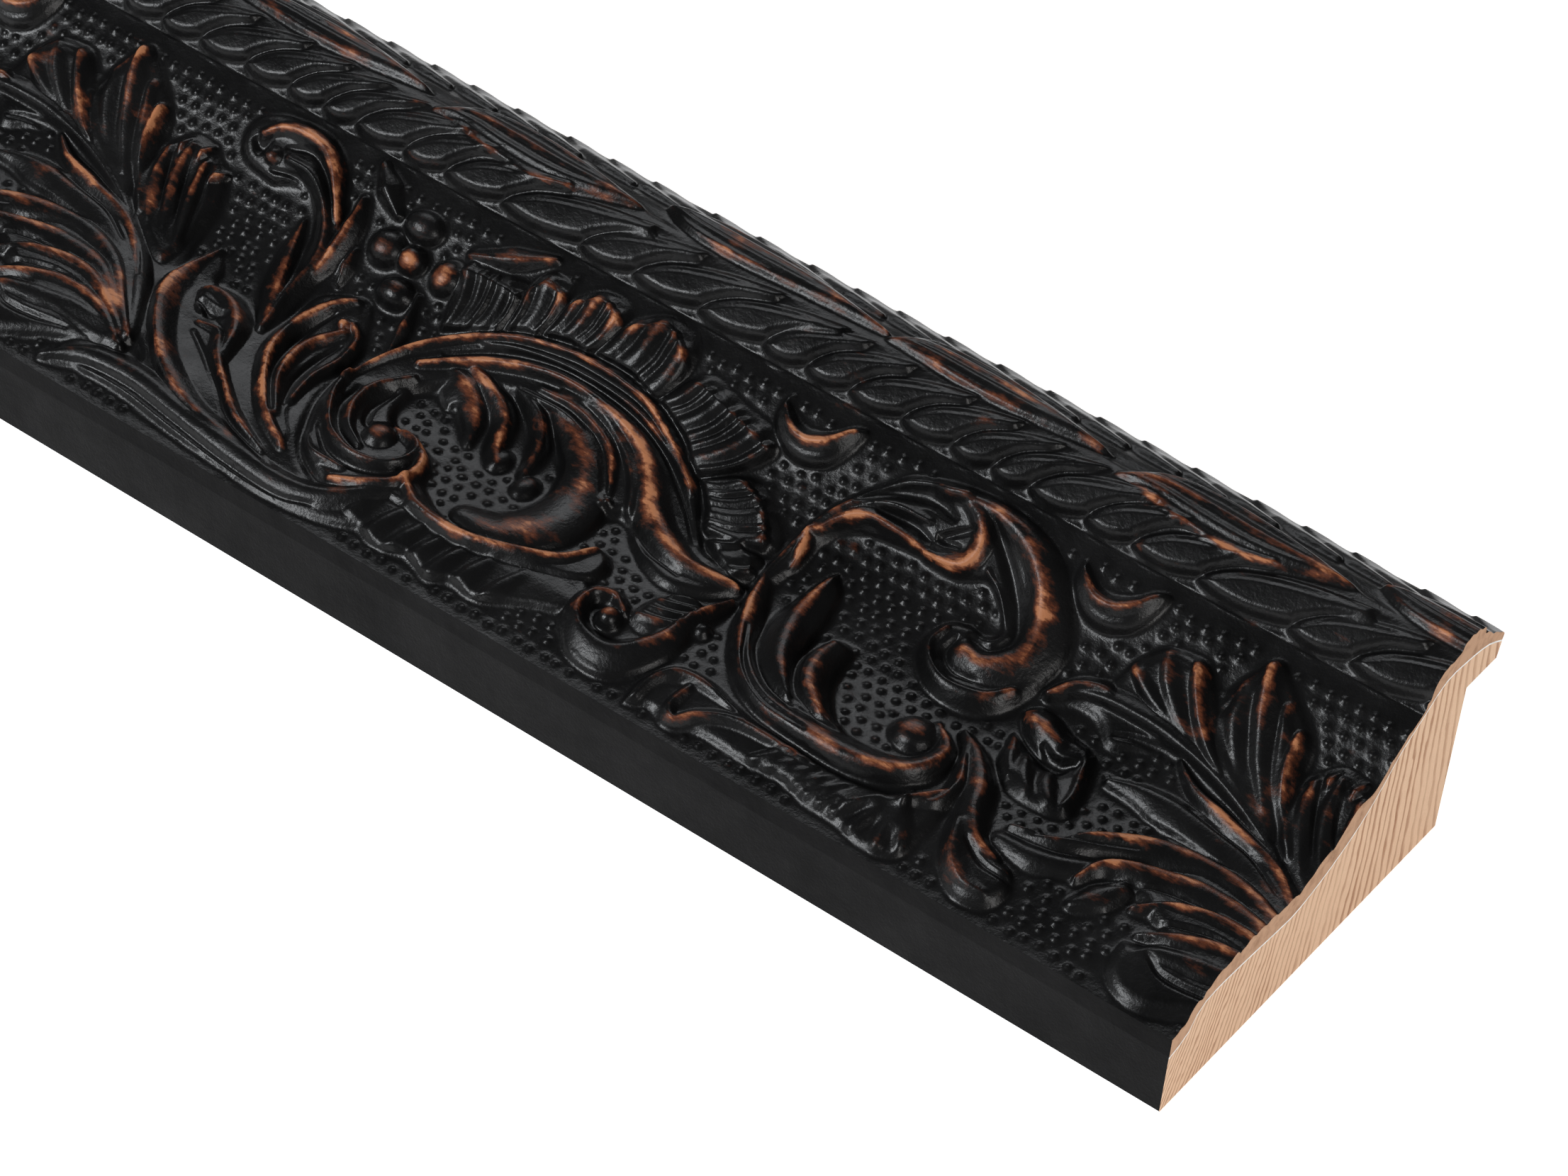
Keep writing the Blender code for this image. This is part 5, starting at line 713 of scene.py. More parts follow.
# %% The laurel band
LOW_TIPS = (-121.0, -109.5, -102.0, -94.5, -85.5, -77.0, -70.2, -64.0, -54.7, -47.0, -36.5, -22.0, -12.3)
FAR_TIPS = (-112.0, -104.0, -96.5, -88.0, -79.0, -70.5, -62.0, -54.5, -46.0, -36.0, -28.0, -20.0, -9.0,
            -1.0)
CREST_LEAVES = (([(-95, 70.1), (-88, 69.6), (-79, 69), (-70, 69.3), (-58, 70.6)],
                 [(-94, 70.8), (-89, 74), (-80, 74.6), (-70, 73.6), (-58, 71.4)]),
                ([(-54.6, 68.4), (-49, 67.6), (-41, 66.2), (-32, 66.4), (-18, 69.8)],
                 [(-54, 69.2), (-48, 72.6), (-40, 73.6), (-30, 72.8), (-17, 70.6)]),
                ([(-15, 73), (-9, 70.2), (0, 69.5), (10, 70), (26, 70.6)],
                 [(-14.4, 73.8), (-8, 75.6), (1, 75.4), (11, 74.2), (26, 71.4)]))


def leaf_band(face):
    face.repeat = LEAF_REPEAT
    face.stroke([(-126, 66), (-60, 66), (6, 66)], [4.6], [0.9])
    for x, further in zip(LOW_TIPS, LOW_TIPS[1:] + (-0.5,)):
        wide = np.clip((further - x) / 9, 0.85, 1.4)
        upper = [(x, 61.0), (x + 1.1 * wide, 63.1), (x + 3.6 * wide, 65.2), (x + 7.4 * wide, 66.9),
                 (x + 12.4 * wide, 68.2), (x + 18 * wide, 69.2)]
        lower = [(p + further - x, q) for p, q in upper[1:4]]
        face.body([*upper, (x + 17 * wide, 68.4), *lower[::-1], (further - 0.2, 61.6),
                   (0.4 * x + 0.6 * further, 60.2), (0.75 * x + 0.25 * further, 60.1)], 2.0, 1.7)
        face.ridge([(p + 0.2, q - 0.3) for p, q in upper], [0.3, 0.45, 0.45, 0.3], [0.15, 0.35, 0.35, 0.1],
                   rub=[0, 0.3, 0.3, 0.1])
        face.groove([(p + 0.7, q - 0.95) for p, q in upper[1:5]], [0.3, 0.45, 0.3], [0.12, 0.25, 0.12])
    for x in FAR_TIPS:
        face.stroke([(x - 3, 83.0), (x + 1.5, 80.6), (x + 7, 78.0), (x + 13, 75.8)], [0.9, 2.6, 2.5, 0.9],
                    [0.5, 1.1, 1.2, 0.8], crest=-0.5, sharp=0.2, rub=0.1)
    for lower, upper in CREST_LEAVES:
        face.body([*lower, *upper[::-1]], 1.6, 1.5, rub=0.2)
        for share, rub in ((0.1, 1.0), (0.34, 0.3), (0.58, 0.95), (0.84, 0.6)):
            rib = [(1 - share) * np.array(p) + share * np.array(q) for p, q in zip(lower, upper)]
            face.ridge(rib, [0.4, 0.8, 0.9, 0.8, 0.4], [0.15, 0.4, 0.42, 0.38, 0.15], full=0.0, rub=rub)
    face.repeat = REPEAT


# %% Carving the whole face
for motif in (main_scroll, left_volute, inner_leaves, shell_crest, lower_rail, low_curl, crescents,
              g_scroll, low_volute, low_leaves, right_stem, palmette, stem_leaves, small_leaves,
              bottom_stem, crook, acanthus, berries, leaf_band):
    motif(face)
    print(motif.__name__, f"highest {face.h.max():.2f} mm")

# %% [markdown]
# Between the scrolls the ground is punched all over with small dots, which kill the shine of the bare
# cove. They sit in staggered rows that wander a little, and they stop short of every leaf. Dots are only
# laid where the height map is still flat, so the pattern fits itself round the ornament.

# %% The punched ground
DOT_PITCH, DOT_RADIUS, DOT_HEIGHT, DOT_RUB = 2.4, 0.6, 0.38, 0.15
DOT_MARGIN, FLAT, BUSY_SHARE = 0.75, 0.2, 0.16
FIRST_ROW, LAST_ROW, ROW_PITCH = 2.0, 58.3, 0.87 * DOT_PITCH
WANDER = 0.2
RING_AT, RING_WIDTH, RING_HEIGHT = 1.25, 0.16, 0.1
DOT_REACH, KEPT_REACH = 1.55, 1.2
chance = np.random.default_rng(7)
busy = blurred((face.h > FLAT).astype(float), DOT_MARGIN, PITCH) > BUSY_SHARE
dots = 0
dotted = np.zeros(face.h.shape, bool)
for row, s in enumerate(np.arange(FIRST_ROW, LAST_ROW, ROW_PITCH)):
    for x in np.arange(-LENGTH + 0.5 * DOT_PITCH * (row % 2), 0, DOT_PITCH):
        dx, ds = chance.normal(0, WANDER, 2)
        i, j = np.searchsorted(face.xs, x + dx), np.searchsorted(face.ss, s + ds)
        if i < len(face.xs) and not busy[j, i]:
            size = DOT_RADIUS * chance.uniform(0.88, 1.1)
            reach = DOT_REACH * size
            i0, i1 = np.searchsorted(face.xs, (x + dx - reach, x + dx + reach))
            j0, j1 = np.searchsorted(face.ss, (s + ds - reach, s + ds + reach))
            gx, gs = np.meshgrid(face.xs[i0:i1] - x - dx, face.ss[j0:j1] - s - ds)
            r = np.hypot(gx, gs) / size
            bead = np.clip(1 - r**2, 0, 1)
            ring = RING_HEIGHT * np.exp(-((r - RING_AT) / RING_WIDTH) ** 2)
            here = slice(j0, j1), slice(i0, i1)
            face.h[here] += DOT_HEIGHT * np.sqrt(bead) + ring
            face.rub[here] = np.maximum(face.rub[here], DOT_RUB * bead)
            dotted[here] |= r < KEPT_REACH
            dots += 1
print(dots, "dots")

# %% [markdown]
# Pressed composition has no knife edges: the putty rounds every arris by a few tenths of a millimetre,
# and then several coats of lacquer fill the finest corners. A blurred copy of the map fills the corners,
# the tallest tops sink a little, and one light blur rounds what is left. Where the lacquer is rubbed
# back is read off the same map too: a crest stands above its blurred self, a hollow below it.

# %% Lacquer over the carving, and wear
FILL, FILL_RADIUS, COAT_RADIUS = 0.8, 0.5, 0.16
SINK, SINK_FROM = 0.12, 1.8
CLOTH_RADIUS, PROUD_BARE, HIGH_BARE = 0.9, 0.55, 2.2
CREST_WEAR, RUB_RADIUS = 0.3, 0.25
face.h = np.maximum(face.h, FILL * blurred(face.h, FILL_RADIUS, PITCH))
face.h -= SINK * np.clip(face.h - SINK_FROM, 0, None) ** 2
face.h = blurred(face.h, COAT_RADIUS, PITCH)
proud = face.h - blurred(face.h, CLOTH_RADIUS, PITCH)
wear = np.clip(proud / PROUD_BARE, 0, 1) * np.clip(face.h / HIGH_BARE, 0, 1)
face.rub = np.clip(blurred(face.rub, RUB_RADIUS, PITCH) + CREST_WEAR * wear, 0, 1)
face.h[0] = face.h[-1] = 0.0
print(f"relief up to {face.h.max():.2f} mm, {100 * (face.rub > 0.4).mean():.1f} % rubbed")

# %% [markdown]
# The skin is made as a sheet first: Blender's grid with one vertex for each point of the height map,
# moved out along the section's normal. Decimate then spends its triangles on the carving and few on
# the plain fillet; a vertex group keeps it off the dots, which it would turn into spikes. The torus is
# a sheet of its own only to keep both under the triangle limit; they meet in the plain fillet. Each
# sheet gets thickness by drawing its rim down to the bed on the pine.

# %% The sheet over the pine
SPANS = 24
CREASE = math.radians(62)


def deselect():
    if bpy.context.mode != "OBJECT":
        bpy.ops.object.mode_set(mode="OBJECT")
    bpy.ops.object.select_all(action="DESELECT")


def on_section(s, height):
    """Points over the curved section: s along it, height out along its normal."""
    y, z, ty, tz = (np.interp(s, section_run, v) for v in (*section.T, *section_slope.T))
    return y - tz * height, z + ty * height


def bed_height(y):
    """Top of the joint on the pine, at this place across."""
    return np.interp(y, *bed_line.T) + JOINT_GAP


def sheet(name, s_low, s_high, triangles):
    """A thinned grid of the height map between two places on the section."""
    j0, j1 = np.searchsorted(face.ss, (s_low, s_high))
    rows = slice(j0, min(j1 + 1, len(face.ss)))
    heights = face.h[rows]
    count = heights.shape
    deselect()
    bpy.ops.mesh.primitive_grid_add(x_subdivisions=count[1] - 1, y_subdivisions=count[0] - 1, size=1)
    piece = bpy.context.object
    piece.name = piece.data.name = name
    x, s = np.meshgrid(face.xs, face.ss[rows])
    y, z = on_section(s, heights)
    piece.data.vertices.foreach_set("co", frame_point(x, y, z).astype(np.float32).ravel())
    piece.data.update()
    free = piece.vertex_groups.new(name="free")
    free.add(np.flatnonzero(~dotted[rows].ravel()).tolist(), 1.0, "REPLACE")
    thin = piece.modifiers.new("thin", "DECIMATE")
    thin.vertex_group = "free"
    thin.ratio = triangles / (2 * (count[0] - 1) * (count[1] - 1))
    thin.use_collapse_triangulate = True
    bpy.ops.object.modifier_apply(modifier="thin")
    piece.vertex_groups.clear()
    return piece


# %% An underside on the bed
def coordinates(piece):
    """All its vertices, in metres, one a row."""
    co = np.empty(3 * len(piece.data.vertices), np.float32)
    piece.data.vertices.foreach_get("co", co)
    return co.reshape(-1, 3).astype(float)


def close_over_bed(piece, s_low, s_high):
    """Gives the sheet an underside on the pine's bed and square walls all round."""
    half = 0.5 * LENGTH * MM
    near_rim, far_rim = (frame_point(0.0, *on_section(s, 0.0)) for s in (s_low, s_high))
    y_low, y_high = (rim[1] / MM + WIDTH / 2 for rim in (near_rim, far_rim))
    y_last = min(y_high, CORE_TOP[-1][0])
    across = [y_low, *(y for y in bed_line[:, 0] if y_low + 0.5 < y < y_last - 0.5), y_last]
    close = 0.3 * PITCH * MM
    mesh = bmesh.new()
    mesh.from_mesh(piece.data)
    for v in mesh.verts:
        v.co.y = min(max(v.co.y, -0.5 * WIDTH * MM), 0.5 * WIDTH * MM)
    rim = [e for e in mesh.edges if e.is_boundary]
    for v in {v for e in rim for v in e.verts}:
        if half - abs(v.co.x) < close:
            v.co.x = math.copysign(half, v.co.x)
        for side in (near_rim, far_rim):
            if abs(v.co.y - side[1]) < close or abs(v.co.x) < half:
                if abs(v.co.y - side[1]) < abs(near_rim[1] - far_rim[1]) / 2:
                    v.co.y, v.co.z = side[1:]
    bed = [[mesh.verts.new(frame_point(x, y, bed_height(y))) for y in across]
           for x in np.linspace(-LENGTH, 0, SPANS + 1)]
    for row, next_row in zip(bed, bed[1:]):
        for a, b, c, d in zip(row, row[1:], next_row[1:], next_row):
            mesh.faces.new((a, b, c, d))
    bed_rim = [e for e in mesh.edges if e.is_boundary and e not in rim]
    middle = 0.5 * (near_rim[1] + far_rim[1])
    hair = 1e-6
    tests = {"left": lambda p: p.x < hair - half, "right": lambda p: p.x > half - hair,
             "near": lambda p: p.y < middle, "far": lambda p: p.y >= middle}
    walls = {name: [] for name in tests}
    for e in rim + bed_rim:
        walls[next(name for name, test in tests.items() if all(test(v.co) for v in e.verts))].append(e)
    for end in ("left", "right"):
        for side in ("near", "far"):
            shared = [{v for e in walls[end] if e in edges for v in e.verts}
                      & {v for e in walls[side] for v in e.verts} for edges in (rim, bed_rim)]
            post = mesh.edges.new([found.pop() for found in shared])
            walls[end].append(post)
            walls[side].append(post)
    for edges in walls.values():
        bmesh.ops.contextual_create(mesh, geom=edges)
    bmesh.ops.triangulate(mesh, faces=[f for f in mesh.faces if len(f.verts) > 4], ngon_method="BEAUTY")
    bmesh.ops.recalc_face_normals(mesh, faces=mesh.faces)
    open_edges = sum(not e.is_manifold for e in mesh.edges)
    mesh.to_mesh(piece.data)
    mesh.free()
    deselect()
    piece.select_set(True)
    bpy.context.view_layer.objects.active = piece
    bpy.ops.object.shade_smooth_by_angle(angle=CREASE)
    print(piece.name, len(piece.data.polygons), "faces,", open_edges, "open edges")


# %% Its share of the wear
BATCHES = 24
SKIN_FOOT = 0.02


def mark_wear(piece):
    """Gives each point its share of the wear map, found by its place on the unrolled face."""
    co = coordinates(piece) / MM + (-LENGTH / 2, WIDTH / 2, 0.0)
    s = np.empty(len(co))
    for part in np.array_split(np.arange(len(co)), BATCHES):
        gap = (co[part, 1, None] - section[:, 0]) ** 2 + (co[part, 2, None] - section[:, 1]) ** 2
        s[part] = section_run[gap.argmin(1)]
    i = np.clip(np.rint((co[:, 0] + LENGTH) / PITCH).astype(int), 0, len(face.xs) - 1)
    j = np.clip(np.rint(s / PITCH).astype(int), 0, len(face.ss) - 1)
    depth = co[:, 2] - bed_height(co[:, 1])
    worn = np.where(depth > SKIN_FOOT, face.rub[j, i], 0.0)
    layer = piece.data.attributes.new("rub", "FLOAT", "POINT")
    layer.data.foreach_set("value", worn.astype(np.float32))


# %% The two sheets
SPLIT = 59.6
skin = []
for name, s_low, s_high, triangles in (("ornament_face", 0.0, SPLIT, 190_000),
                                       ("leaf_torus", SPLIT, FACE_WIDTH, 120_000)):
    piece = sheet(name, s_low, s_high, triangles)
    close_over_bed(piece, face.ss[np.searchsorted(face.ss, s_low)],
                   face.ss[min(np.searchsorted(face.ss, s_high), len(face.ss) - 1)])
    mark_wear(piece)
    skin.append(piece)

# %% [markdown]
# At the cut a thin white line runs between pine and composition: the gesso and glue that the skin was
# pressed down on. It is a strip as thick as that joint and as long as the moulding. A closed section is
# filled as one face and drawn out along the length, which is how a plane or an extruder would make it.

# %% Gesso line
def gesso_line():
    outline = [*bed_line, *(bed_line[::-1] + (0, JOINT_GAP))]
    deselect()
    bpy.ops.mesh.primitive_circle_add(vertices=len(outline), radius=1, fill_type="NGON")
    piece = bpy.context.object
    piece.name = piece.data.name = "gesso_line"
    points = [frame_point(-LENGTH, y, z) for y, z in outline]
    piece.data.vertices.foreach_set("co", np.array(points, np.float32).ravel())
    bpy.ops.object.mode_set(mode="EDIT")
    bpy.ops.mesh.select_all(action="SELECT")
    bpy.ops.mesh.extrude_region_move(TRANSFORM_OT_translate={"value": (LENGTH * MM, 0, 0)})
    bpy.ops.mesh.select_all(action="SELECT")
    bpy.ops.mesh.quads_convert_to_tris(ngon_method="BEAUTY")
    bpy.ops.mesh.normals_make_consistent(inside=False)
    bpy.ops.object.mode_set(mode="OBJECT")
    print("gesso_line", len(piece.data.polygons), "faces")
    return piece


gesso = gesso_line()

# %% [markdown]
# The finish is satin black lacquer, brushed out thin, with copper-coloured paint under it. Rubbing has
# bared the copper on the crests, streaky along the stroke of the cloth. The wear map drives the mix, and
# two noises break its edge so that it never looks airbrushed. On the sawn ends the same piece shows the
# raw tan composition, found by its place: nothing but the cut lies at the very end of the length.

# %% Helpers for materials
def new_material(name):
    made = bpy.data.materials.new(name)
    made.use_nodes = True
    return made


def noise(tree, scale, detail=4.0, rough=0.55, stretch=(1, 1, 1)):
    """Noise over Object coordinates, drawn out along an axis by stretch."""
    nodes, links = tree.nodes, tree.links
    where = nodes.new("ShaderNodeTexCoord")
    place = nodes.new("ShaderNodeMapping")
    place.inputs["Scale"].default_value = stretch
    made = nodes.new("ShaderNodeTexNoise")
    made.inputs["Scale"].default_value = scale
    made.inputs["Detail"].default_value = detail
    made.inputs["Roughness"].default_value = rough
    links.new(where.outputs["Object"], place.inputs["Vector"])
    links.new(place.outputs["Vector"], made.inputs["Vector"])
    return made.outputs["Fac"]


def ramp(tree, value, stops):
    """A colour ramp over a value: stops are (position, colour or grey)."""
    made = tree.nodes.new("ShaderNodeValToRGB")
    ends = made.color_ramp.elements
    while len(ends) < len(stops):
        ends.new(0.5)
    for end, (position, colour) in zip(ends, stops):
        end.position = position
        end.color = (*colour, 1) if isinstance(colour, tuple) else (colour, colour, colour, 1)
    tree.links.new(value, made.inputs["Fac"])
    return made.outputs["Color"]


def maths(tree, kind, a, b=0.0, c=0.0):
    """A sum of two or three values, each a number or another node's output."""
    made = tree.nodes.new("ShaderNodeMath")
    made.operation = kind
    for socket, value in zip(made.inputs, (a, b, c)):
        if isinstance(value, (int, float)):
            socket.default_value = value
        else:
            tree.links.new(value, socket)
    return made.outputs[0]


def centred(tree, value):
    """A noise moved down to swing about 0."""
    return maths(tree, "SUBTRACT", value, 0.5)


def blend(tree, share, a, b):
    """Colour a where share is 0 and b where it is 1."""
    made = tree.nodes.new("ShaderNodeMix")
    made.data_type = "RGBA"
    for socket, value in ((made.inputs[0], share), (made.inputs[6], a), (made.inputs[7], b)):
        if isinstance(value, (int, float)):
            socket.default_value = value
        elif isinstance(value, tuple):
            socket.default_value = (*value, 1)
        else:
            tree.links.new(value, socket)
    return made.outputs[2]


# %% Places on the moulding
def past(tree, axis, limit, soft=1e-5):
    """1 beyond a limit along an axis of the piece, 0 before it; a negative limit looks the other way."""
    where = tree.nodes.new("ShaderNodeTexCoord")
    split = tree.nodes.new("ShaderNodeSeparateXYZ")
    tree.links.new(where.outputs["Object"], split.inputs[0])
    side = maths(tree, "MULTIPLY", split.outputs[axis], math.copysign(1.0, limit))
    made = tree.nodes.new("ShaderNodeMapRange")
    made.inputs["From Min"].default_value = abs(limit) - soft
    made.inputs["From Max"].default_value = abs(limit) + soft
    tree.links.new(side, made.inputs["Value"])
    return made.outputs["Result"]


SAWN_END = (0.5 * LENGTH - 0.04) * MM
OUTER_SIDE = (0.08 - 0.5 * WIDTH) * MM


def at_ends(tree):
    """1 on the two sawn ends."""
    return maths(tree, "MAXIMUM", past(tree, 0, SAWN_END), past(tree, 0, -SAWN_END))


def painted_side(tree):
    """1 on the plain outer side of the moulding, 0 on its sawn ends."""
    return maths(tree, "MULTIPLY", past(tree, 1, OUTER_SIDE), maths(tree, "SUBTRACT", 1.0, at_ends(tree)))


# %% Surface and shader
def bump(tree, height, strength, distance, after=None):
    """Small heights on the surface, laid over another bump where there is one."""
    made = tree.nodes.new("ShaderNodeBump")
    made.inputs["Strength"].default_value = strength
    made.inputs["Distance"].default_value = distance
    tree.links.new(height, made.inputs["Height"])
    if after is not None:
        tree.links.new(after, made.inputs["Normal"])
    return made.outputs["Normal"]


def shader(tree, colour, roughness, normal=None):
    """Joins what is given to the material's own shader."""
    made = tree.nodes["Principled BSDF"]
    for socket, value in (("Base Color", colour), ("Roughness", roughness), ("Normal", normal)):
        if value is not None:
            tree.links.new(value, made.inputs[socket])
    return made


BLACK, BLACK_HIGH = (0.0028, 0.0028, 0.0029), (0.0086, 0.0084, 0.0086)
COPPER_DARK, COPPER, COPPER_BRIGHT = (0.05, 0.013, 0.007), (0.20, 0.054, 0.021), (0.52, 0.21, 0.095)
TAN, TAN_DARK = (0.50, 0.30, 0.185), (0.36, 0.20, 0.115)
THIN_COAT = 0.28


def lacquer(tree, dull=0.0):
    """Satin black, a little uneven: its colour, roughness and bump. dull makes it a thin matt coat."""
    cloud = noise(tree, 60, 3)
    colour = ramp(tree, cloud, ((0.3, BLACK), (0.75, BLACK_HIGH)))
    roughness = ramp(tree, noise(tree, 220, 4), ((0.25, 0.25 + dull), (0.8, 0.40 + dull)))
    normal = bump(tree, noise(tree, 620, 4, 0.6), 0.3, 0.0003)
    grain = ramp(tree, noise(tree, 2300, 3), ((0.35, 0.0), (0.75, 1.0)))
    return colour, roughness, bump(tree, grain, 0.14, 0.00012, normal)


# %% Black lacquer rubbed through to copper
black_copper = new_material("black_copper")
tree = black_copper.node_tree
colour, roughness, normal = lacquer(tree)
worn = tree.nodes.new("ShaderNodeAttribute")
worn.attribute_name = "rub"
streaks = noise(tree, 620, 5, 0.7, (0.3, 1, 1))
patches = noise(tree, 110, 4, 0.6)
broken = maths(tree, "MULTIPLY_ADD", centred(tree, streaks), 1.4,
               maths(tree, "MULTIPLY", worn.outputs["Fac"], 0.88))
broken = maths(tree, "MULTIPLY_ADD", centred(tree, patches), 2.0, broken)
bare = ramp(tree, broken, ((0.42, 0.0), (0.75, 0.55), (1.0, 0.85)))
copper = ramp(tree, broken, ((0.42, COPPER_DARK), (0.78, COPPER), (1.0, COPPER_BRIGHT)))
colour = blend(tree, bare, colour, copper)
chalk = noise(tree, 700, 4)
putty = ramp(tree, chalk, ((0.3, TAN_DARK), (0.55, TAN)))
ends = at_ends(tree)
colour = blend(tree, ends, colour, putty)
roughness = blend(tree, bare, roughness, (0.42, 0.42, 0.42))
roughness = blend(tree, ends, roughness, (0.85, 0.85, 0.85))
shader(tree, colour, roughness, normal).inputs["Specular IOR Level"].default_value = 0.27
for piece in skin:
    piece.data.materials.append(black_copper)
print("black_copper:", len(tree.nodes), "nodes")

# %% [markdown]
# The outer side is plain and duller than the face: it gets one thin coat and no rubbing. Its gloss is
# lower all over, and gloss is one plain value in each material here, so this is a second material on the
# same piece. The faces that lie in the plane of that side take it.

# %% The matt outer side
matt_black = new_material("matt_black")
tree = matt_black.node_tree
shader(tree, *lacquer(tree, THIN_COAT)).inputs["Specular IOR Level"].default_value = 0.05
outer_skin = skin[0].data
outer_skin.materials.append(matt_black)
matt_faces = [f for f in outer_skin.polygons if f.normal.y < -0.99 and f.center.y < OUTER_SIDE]
for f in matt_faces:
    f.material_index = 1
print("matt_black:", len(matt_faces), "faces")

# %% [markdown]
# The core is pine, sawn across at the end: the growth rings stand almost upright, pale early wood and
# narrow darker late wood, closer together towards the outer edge. The long faces show the same rings as
# straight grain. Rings are counted from a line beyond the outer edge, which is the bark's side: the
# logarithm makes them narrower towards it, as the tree grew older, and a slow noise makes good years and
# poor ones. The outer side is painted black with the face.

# %% Pine
RINGS, BARK, FAN, LEAN, SWAY = 59, 0.1, 8.7, -0.1, 0.0032
EARLY, LATE, FIBRE = (0.73, 0.49, 0.325), (0.32, 0.135, 0.06), (0.80, 0.60, 0.45)
pine = new_material("pine")
tree = pine.node_tree
where = tree.nodes.new("ShaderNodeTexCoord")
split = tree.nodes.new("ShaderNodeSeparateXYZ")
tree.links.new(where.outputs["Object"], split.inputs[0])
spread = maths(tree, "MULTIPLY_ADD", maths(tree, "MULTIPLY", split.outputs[1], split.outputs[2]), FAN,
               split.outputs[1])
from_bark = maths(tree, "MULTIPLY_ADD", split.outputs[2], LEAN, maths(tree, "ADD", spread, BARK))
sway = maths(tree, "MULTIPLY", centred(tree, noise(tree, 240, 3, 0.6, (0.1, 1, 0.25))), SWAY)
years = maths(tree, "MULTIPLY", maths(tree, "LOGARITHM", maths(tree, "ADD", from_bark, sway), math.e),
              RINGS)
rings = maths(tree, "FRACT", years)
faint = ramp(tree, noise(tree, 130, 3, 0.6, (0.1, 1, 0.3)), ((0.35, 0.0), (0.7, 0.7)))
ring_colour = ramp(tree, rings, ((0.0, LATE), (0.18, LATE), (0.42, EARLY), (0.95, EARLY), (1.0, LATE)))
ring_colour = blend(tree, faint, ring_colour, EARLY)
fibres = noise(tree, 1500, 4, 0.6, (0.02, 1, 1))
ring_colour = blend(tree, maths(tree, "MULTIPLY", fibres, 0.25), ring_colour, FIBRE)
end_fibres = noise(tree, 2600, 3, 0.6)
black, rough, normal = lacquer(tree, THIN_COAT)
painted = painted_side(tree)
colour = blend(tree, painted, ring_colour, black)
roughness = blend(tree, painted, (0.72, 0.72, 0.72), rough)
saw = bump(tree, end_fibres, 0.35, 0.00015, normal)
shader(tree, colour, roughness, saw).inputs["Specular IOR Level"].default_value = 0.08
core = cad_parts["pine_core"]
core.data.materials.clear()
core.data.materials.append(pine)
print("pine:", len(tree.nodes), "nodes")

# %% [markdown]
# The joint's gesso is chalk and glue: matt, nearly white and a little mottled. It shows only on the sawn
# ends, so a plain colour ramp over a noise is enough. On the outer side the lacquer runs over it.

# %% Gesso
white = new_material("gesso")
tree = white.node_tree
chalk = ramp(tree, noise(tree, 500, 3), ((0.3, (0.72, 0.70, 0.67)), (0.6, (0.88, 0.87, 0.85))))
black, rough, normal = lacquer(tree, THIN_COAT)
painted = painted_side(tree)
colour = blend(tree, painted, chalk, black)
roughness = blend(tree, painted, (0.8, 0.8, 0.8), rough)
shader(tree, colour, roughness, normal).inputs["Specular IOR Level"].default_value = 0.08
gesso.data.materials.append(white)
print("gesso:", len(tree.nodes), "nodes")

# %% [markdown]
# All three ride on the one body. The two sheets stand for the composition's CAD solid; the gesso line is
# only its joint, and the pine keeps its own solid.

# %% Onto the frame
for piece in skin:
    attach(piece, "root")
    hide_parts("compo_face")
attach(gesso, "root")

# %% [markdown]
# The stage is a plain white table under soft light, as a catalogue picture has it. A small bright panel
# hangs over the near left and models the relief, a large soft one hangs high behind so that it glances
# off the creases, and one at the right lights the sawn end.

# %% Table
deselect()
bpy.ops.mesh.primitive_plane_add(size=6.0, location=(0, 0, 0))
table = bpy.context.object
table.name = table.data.name = "table"
paper = new_material("white_paper")
tone = ramp(paper.node_tree, noise(paper.node_tree, 3, 2), ((0.3, 0.86), (0.7, 0.9)))
finish = shader(paper.node_tree, tone, None)
finish.inputs["Roughness"].default_value = 0.9
finish.inputs["Specular IOR Level"].default_value = 0.1
finish.inputs["Emission Color"].default_value = (1, 1, 1, 1)
finish.inputs["Emission Strength"].default_value = 0.78
table.data.materials.append(paper)
print("table", [round(side, 2) for side in table.dimensions[:2]], "m")


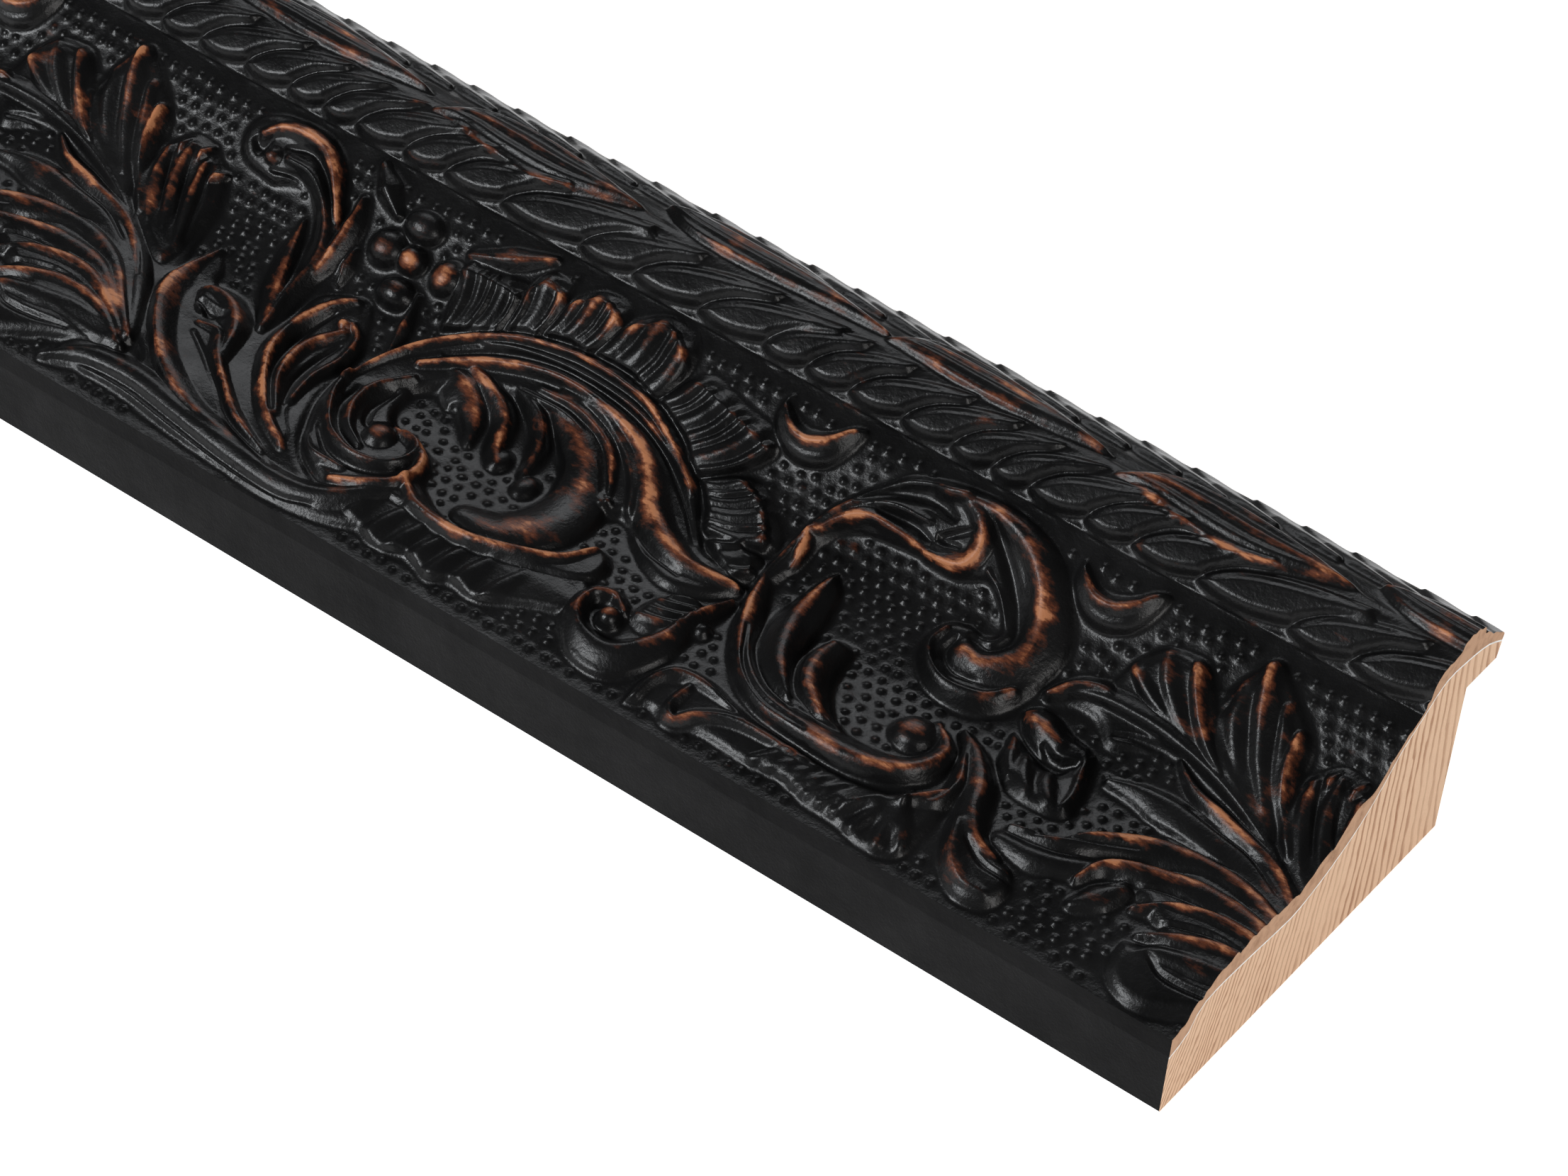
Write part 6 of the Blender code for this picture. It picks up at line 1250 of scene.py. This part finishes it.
# %% Lights
def panel(name, place, aim, size, watts, tint=(1, 1, 1)):
    light = bpy.data.lights.new(name, "AREA")
    light.shape = "RECTANGLE"
    light.size, light.size_y = size
    light.energy = watts
    light.color = tint
    lamp = bpy.data.objects.new(name, light)
    bpy.context.collection.objects.link(lamp)
    lamp.location = place
    lamp.rotation_euler = (Vector(aim) - Vector(place)).to_track_quat("-Z", "Y").to_euler()


panel("over_left", (-0.58, -0.9, 0.74), (0, 0, 0), (0.46, 0.34), 12.0, (0.95, 0.975, 1.0))
panel("behind", (-0.75, 1.0, 1.1), (0, 0, 0.02), (1.0, 0.6), 5.5, (0.95, 0.97, 1.0))
panel("right", (1.05, -0.5, 0.55), (0.1, 0, 0.02), (0.5, 0.5), 5.2, (1.0, 0.98, 0.96))

world = bpy.data.worlds.new("studio")
world.use_nodes = True
world.node_tree.nodes["Background"].inputs["Color"].default_value = (1, 1, 1, 1)
world.node_tree.nodes["Background"].inputs["Strength"].default_value = 0.045
bpy.context.scene.world = world
bpy.context.scene.view_settings.view_transform = "Standard"
print("lights:", ", ".join(light.name for light in bpy.data.lights))

# %% Camera
CAMERA_PLACE, CAMERA_LENS = (0.30697, -0.40918, 0.46002), 110.37
CAMERA_RIGHT, CAMERA_DOWN, CAMERA_AHEAD = ((0.79458, 0.60330, 0.06832), (0.44972, -0.50920, -0.73380),
                                           (-0.40791, 0.61379, -0.67592))
camera = bpy.data.objects.new("camera", bpy.data.cameras.new("camera"))
bpy.context.collection.objects.link(camera)
camera.data.sensor_width = 36.0
camera.data.sensor_fit = "HORIZONTAL"
camera.data.lens = CAMERA_LENS
camera.data.clip_start = 0.01
turn = Matrix((CAMERA_RIGHT, [-v for v in CAMERA_DOWN], [-v for v in CAMERA_AHEAD])).transposed()
camera.matrix_world = Matrix.LocRotScale(Vector(CAMERA_PLACE), turn.to_quaternion(), None)
bpy.context.scene.camera = camera
print(f"camera {camera.location.length:.2f} m away, lens {CAMERA_LENS:.0f} mm")
